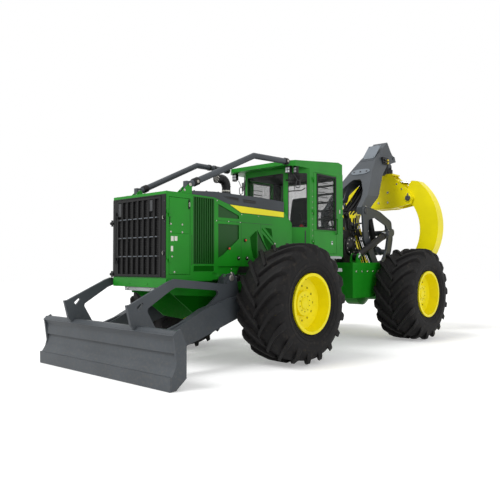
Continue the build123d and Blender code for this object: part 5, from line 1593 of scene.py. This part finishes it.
def make_stage(sizes):
    """The floor, the soft lights, the white surround and the camera."""
    scene = bpy.context.scene
    floor = bpy.data.meshes.new("studio_floor")
    reach = sizes.floor / 2
    corners = [(-reach, -reach, 0), (reach, -reach, 0), (reach, reach, 0), (-reach, reach, 0)]
    floor.from_pydata(corners, [], [(0, 1, 2, 3)])
    ground = bpy.data.objects.new("studio_floor", floor)
    scene.collection.objects.link(ground)
    f = Finish("studio_floor")
    speck = f.noise(3, 3)
    tone = f.mix(speck, (0.78, 0.78, 0.78), (0.80, 0.80, 0.80))
    f.set(base_color=tone, roughness=0.9, specular_ior_level=0.1)
    ray = f.node("ShaderNodeLightPath", {}, {})
    seen = Value(f, ray.outputs["Is Camera Ray"]) + Value(f, ray.outputs["Is Glossy Ray"])
    seen = (seen + Value(f, ray.outputs["Is Transmission Ray"])).between(0, 1)
    glow = f.node("ShaderNodeEmission", {}, {"Color": (1, 1, 1, 1), "Strength": seen * FLOOR_GLOW})
    both = f.node("ShaderNodeAddShader", {}, {0: f.shader.outputs[0], 1: glow.outputs[0]})
    f.tree.links.new(both.outputs[0], f.output.inputs[0])
    floor.materials.append(f.material)

    world = bpy.data.worlds.new("studio")
    scene.world = world
    world.use_nodes = True
    tree = world.node_tree
    tree.nodes.clear()
    path = tree.nodes.new("ShaderNodeLightPath")
    first, second = tree.nodes.new("ShaderNodeMath"), tree.nodes.new("ShaderNodeMath")
    first.operation = second.operation = "MAXIMUM"
    tree.links.new(path.outputs["Is Camera Ray"], first.inputs[0])
    tree.links.new(path.outputs["Is Transmission Ray"], first.inputs[1])
    tree.links.new(first.outputs[0], second.inputs[0])
    tree.links.new(path.outputs["Is Glossy Ray"], second.inputs[1])
    soft, white = tree.nodes.new("ShaderNodeBackground"), tree.nodes.new("ShaderNodeBackground")
    soft.inputs[0].default_value = (1, 1, 1, 1)
    soft.inputs[1].default_value = sizes.sky
    white.inputs[0].default_value = (1, 1, 1, 1)
    white.inputs[1].default_value = 1.0
    mixed, out = tree.nodes.new("ShaderNodeMixShader"), tree.nodes.new("ShaderNodeOutputWorld")
    tree.links.new(second.outputs[0], mixed.inputs[0])
    tree.links.new(soft.outputs[0], mixed.inputs[1])
    tree.links.new(white.outputs[0], mixed.inputs[2])
    tree.links.new(mixed.outputs[0], out.inputs[0])

    for name, tilt, turn, strength, angle in LIGHTS:
        lamp = bpy.data.lights.new(name, "SUN")
        lamp.energy = strength
        lamp.angle = math.radians(angle)
        holder = bpy.data.objects.new(name, lamp)
        holder.rotation_euler = (math.radians(tilt), 0, math.radians(turn))
        scene.collection.objects.link(holder)

    camera = bpy.data.cameras.new("photo_camera")
    camera.lens = sizes.lens
    camera.sensor_width = 36
    camera.clip_end = 200
    eye = bpy.data.objects.new("photo_camera", camera)
    eye.location = at(*CAMERA_PLACE)
    eye.rotation_euler = (math.radians(CAMERA_TILT), 0, math.radians(CAMERA_TURN))
    scene.collection.objects.link(eye)
    scene.camera = eye
    scene.view_settings.view_transform = "Standard"


# The add-on


class SkidderSizes(bpy.types.PropertyGroup):
    """Sizes that a user would change."""

    lugs: IntProperty(name="Tread bars a side", description="Bars on each half of a tyre's tread", default=18,
                      min=8)
    lug_sweep: FloatProperty(name="Bar sweep", description="Degrees that a bar turns from crown to shoulder",
                             default=29.0)
    rim_studs: IntProperty(name="Rim studs", description="Small studs round each rim's disc", default=36)
    wheel_bolts: IntProperty(name="Wheel bolts", description="Bolts that hold a rim to its hub", default=12)
    floor: FloatProperty(name="Floor", description="Side of the studio floor", default=80.0, unit="LENGTH")
    sky: FloatProperty(name="Sky", description="Strength of the soft light all round", default=0.55)
    lens: FloatProperty(name="Lens", description="Focal length in millimetres", default=41.18)


class SkidderColours(bpy.types.PropertyGroup):
    """Paint colours that a user would change."""

    green: FloatVectorProperty(name="Green", description="Bodywork paint", subtype="COLOR", size=3,
                               default=linear(22, 138, 24))
    grey: FloatVectorProperty(name="Grey", description="Frame, blade and arch paint", subtype="COLOR", size=3,
                              default=linear(70, 75, 80))
    yellow: FloatVectorProperty(name="Yellow", description="Wheel and grapple paint", subtype="COLOR", size=3,
                                default=linear(250, 234, 0))
    stripe: FloatVectorProperty(name="Stripe", description="Band along the hood", subtype="COLOR", size=3,
                                default=linear(250, 238, 40))


class SKIDDER_OT_finishes(bpy.types.Operator):
    """Mix the finishes and put them on the frame"""

    bl_idname = "skidder.finishes"
    bl_label = "Finishes"

    def execute(self, context):
        FINISH.update(make_finishes(context.scene.skidder_colours))
        paint_nodes()
        return {"FINISHED"}


class SKIDDER_OT_tyres(bpy.types.Operator):
    """Build the four lugged tyres"""

    bl_idname = "skidder.tyres"
    bl_label = "Tyres"

    def execute(self, context):
        make_tyres(context.scene.skidder_sizes)
        return {"FINISHED"}


class SKIDDER_OT_wheel_fittings(bpy.types.Operator):
    """Build the bolts, caps and valves of the wheels"""

    bl_idname = "skidder.wheel_fittings"
    bl_label = "Wheel fittings"

    def execute(self, context):
        make_wheel_fittings(context.scene.skidder_sizes)
        return {"FINISHED"}


class SKIDDER_OT_stripes(bpy.types.Operator):
    """Build the hood's yellow bands"""

    bl_idname = "skidder.stripes"
    bl_label = "Stripes"

    def execute(self, context):
        make_stripes()
        return {"FINISHED"}


class SKIDDER_OT_seat(bpy.types.Operator):
    """Build the driver's seat"""

    bl_idname = "skidder.seat"
    bl_label = "Seat"

    def execute(self, context):
        make_seat()
        return {"FINISHED"}


class SKIDDER_OT_grille_surround(bpy.types.Operator):
    """Build the black border round the grille, with its catches"""

    bl_idname = "skidder.grille_surround"
    bl_label = "Grille surround"

    def execute(self, context):
        make_grille_surround()
        return {"FINISHED"}


class SKIDDER_OT_grille(bpy.types.Operator):
    """Build the grille's fairings, clips, mesh and plates"""

    bl_idname = "skidder.grille"
    bl_label = "Grille"

    def execute(self, context):
        make_grille()
        return {"FINISHED"}


class SKIDDER_OT_nose_fittings(bpy.types.Operator):
    """Build the nose's pan, hinges, pulls and labels"""

    bl_idname = "skidder.nose_fittings"
    bl_label = "Nose fittings"

    def execute(self, context):
        make_nose_fittings()
        return {"FINISHED"}


class SKIDDER_OT_panel_fittings(bpy.types.Operator):
    """Build the side panels' vents, seams and knobs"""

    bl_idname = "skidder.panel_fittings"
    bl_label = "Panel fittings"

    def execute(self, context):
        make_panel_fittings()
        return {"FINISHED"}


class SKIDDER_OT_intake(bpy.types.Operator):
    """Build the intake pipe's ribs, band and mouth"""

    bl_idname = "skidder.intake"
    bl_label = "Intake"

    def execute(self, context):
        make_intake()
        return {"FINISHED"}


class SKIDDER_OT_guard_fittings(bpy.types.Operator):
    """Build the brush guards' ears, pins and clamps"""

    bl_idname = "skidder.guard_fittings"
    bl_label = "Guard fittings"

    def execute(self, context):
        make_guard_fittings()
        return {"FINISHED"}


class SKIDDER_OT_lamps(bpy.types.Operator):
    """Build the lamps' cells and the mirrors' wire loops"""

    bl_idname = "skidder.lamps"
    bl_label = "Lamps"

    def execute(self, context):
        make_lamps()
        return {"FINISHED"}


class SKIDDER_OT_cab_fittings(bpy.types.Operator):
    """Build the cab's seals, wipers, slats and steps"""

    bl_idname = "skidder.cab_fittings"
    bl_label = "Cab fittings"

    def execute(self, context):
        make_cab_fittings()
        return {"FINISHED"}


class SKIDDER_OT_door_fittings(bpy.types.Operator):
    """Build the cab doors' screens and latches"""

    bl_idname = "skidder.door_fittings"
    bl_label = "Door fittings"

    def execute(self, context):
        make_door_fittings()
        return {"FINISHED"}


class SKIDDER_OT_arch_fittings(bpy.types.Operator):
    """Build the arch's beads and hoses"""

    bl_idname = "skidder.arch_fittings"
    bl_label = "Arch fittings"

    def execute(self, context):
        make_arch_fittings()
        return {"FINISHED"}


class SKIDDER_OT_boom_fittings(bpy.types.Operator):
    """Build the boom's covers, shield, valve block and hoses"""

    bl_idname = "skidder.boom_fittings"
    bl_label = "Boom fittings"

    def execute(self, context):
        make_boom_fittings()
        return {"FINISHED"}


class SKIDDER_OT_head_fittings(bpy.types.Operator):
    """Build the grapple head's bosses and beads"""

    bl_idname = "skidder.head_fittings"
    bl_label = "Head fittings"

    def execute(self, context):
        make_head_fittings()
        return {"FINISHED"}


class SKIDDER_OT_rear_fittings(bpy.types.Operator):
    """Build the winch's covers and the deck's hoses"""

    bl_idname = "skidder.rear_fittings"
    bl_label = "Rear fittings"

    def execute(self, context):
        make_rear_fittings()
        return {"FINISHED"}


class SKIDDER_OT_fasteners(bpy.types.Operator):
    """Build the bolts in rows and the pins' heads"""

    bl_idname = "skidder.fasteners"
    bl_label = "Fasteners"

    def execute(self, context):
        make_fasteners()
        return {"FINISHED"}


class SKIDDER_OT_stage(bpy.types.Operator):
    """Set up the floor, lights and camera"""

    bl_idname = "skidder.stage"
    bl_label = "Stage"

    def execute(self, context):
        make_stage(context.scene.skidder_sizes)
        return {"FINISHED"}


OPERATORS = (
    SKIDDER_OT_stage, SKIDDER_OT_finishes, SKIDDER_OT_tyres, SKIDDER_OT_wheel_fittings,
    SKIDDER_OT_stripes, SKIDDER_OT_seat, SKIDDER_OT_grille_surround, SKIDDER_OT_grille,
    SKIDDER_OT_nose_fittings, SKIDDER_OT_panel_fittings, SKIDDER_OT_intake, SKIDDER_OT_guard_fittings,
    SKIDDER_OT_lamps, SKIDDER_OT_cab_fittings, SKIDDER_OT_door_fittings, SKIDDER_OT_arch_fittings,
    SKIDDER_OT_boom_fittings, SKIDDER_OT_head_fittings, SKIDDER_OT_rear_fittings, SKIDDER_OT_fasteners,
)


class SKIDDER_PT_panel(bpy.types.Panel):
    """Lists the skidder's pieces"""

    bl_idname = "SKIDDER_PT_panel"
    bl_label = "Skidder"
    bl_space_type = "VIEW_3D"
    bl_region_type = "UI"
    bl_category = "Skidder"

    def draw(self, context):
        for group in (context.scene.skidder_sizes, context.scene.skidder_colours):
            for name in group.__annotations__:
                self.layout.prop(group, name)
        for operator in OPERATORS:
            self.layout.operator(operator.bl_idname)


CLASSES = (SkidderSizes, SkidderColours, *OPERATORS, SKIDDER_PT_panel)


def register():
    """Makes the groups, operators and panel known."""
    for cls in CLASSES:
        bpy.utils.register_class(cls)
    bpy.types.Scene.skidder_sizes = PointerProperty(type=SkidderSizes)
    bpy.types.Scene.skidder_colours = PointerProperty(type=SkidderColours)


def unregister():
    """Takes them away again."""
    del bpy.types.Scene.skidder_colours
    del bpy.types.Scene.skidder_sizes
    for cls in reversed(CLASSES):
        bpy.utils.unregister_class(cls)


def main():
    """Build everything in order."""
    register()
    for operator in OPERATORS:
        group, name = operator.bl_idname.split(".")
        getattr(getattr(bpy.ops, group), name)()


if __name__ == "__main__":
    main()
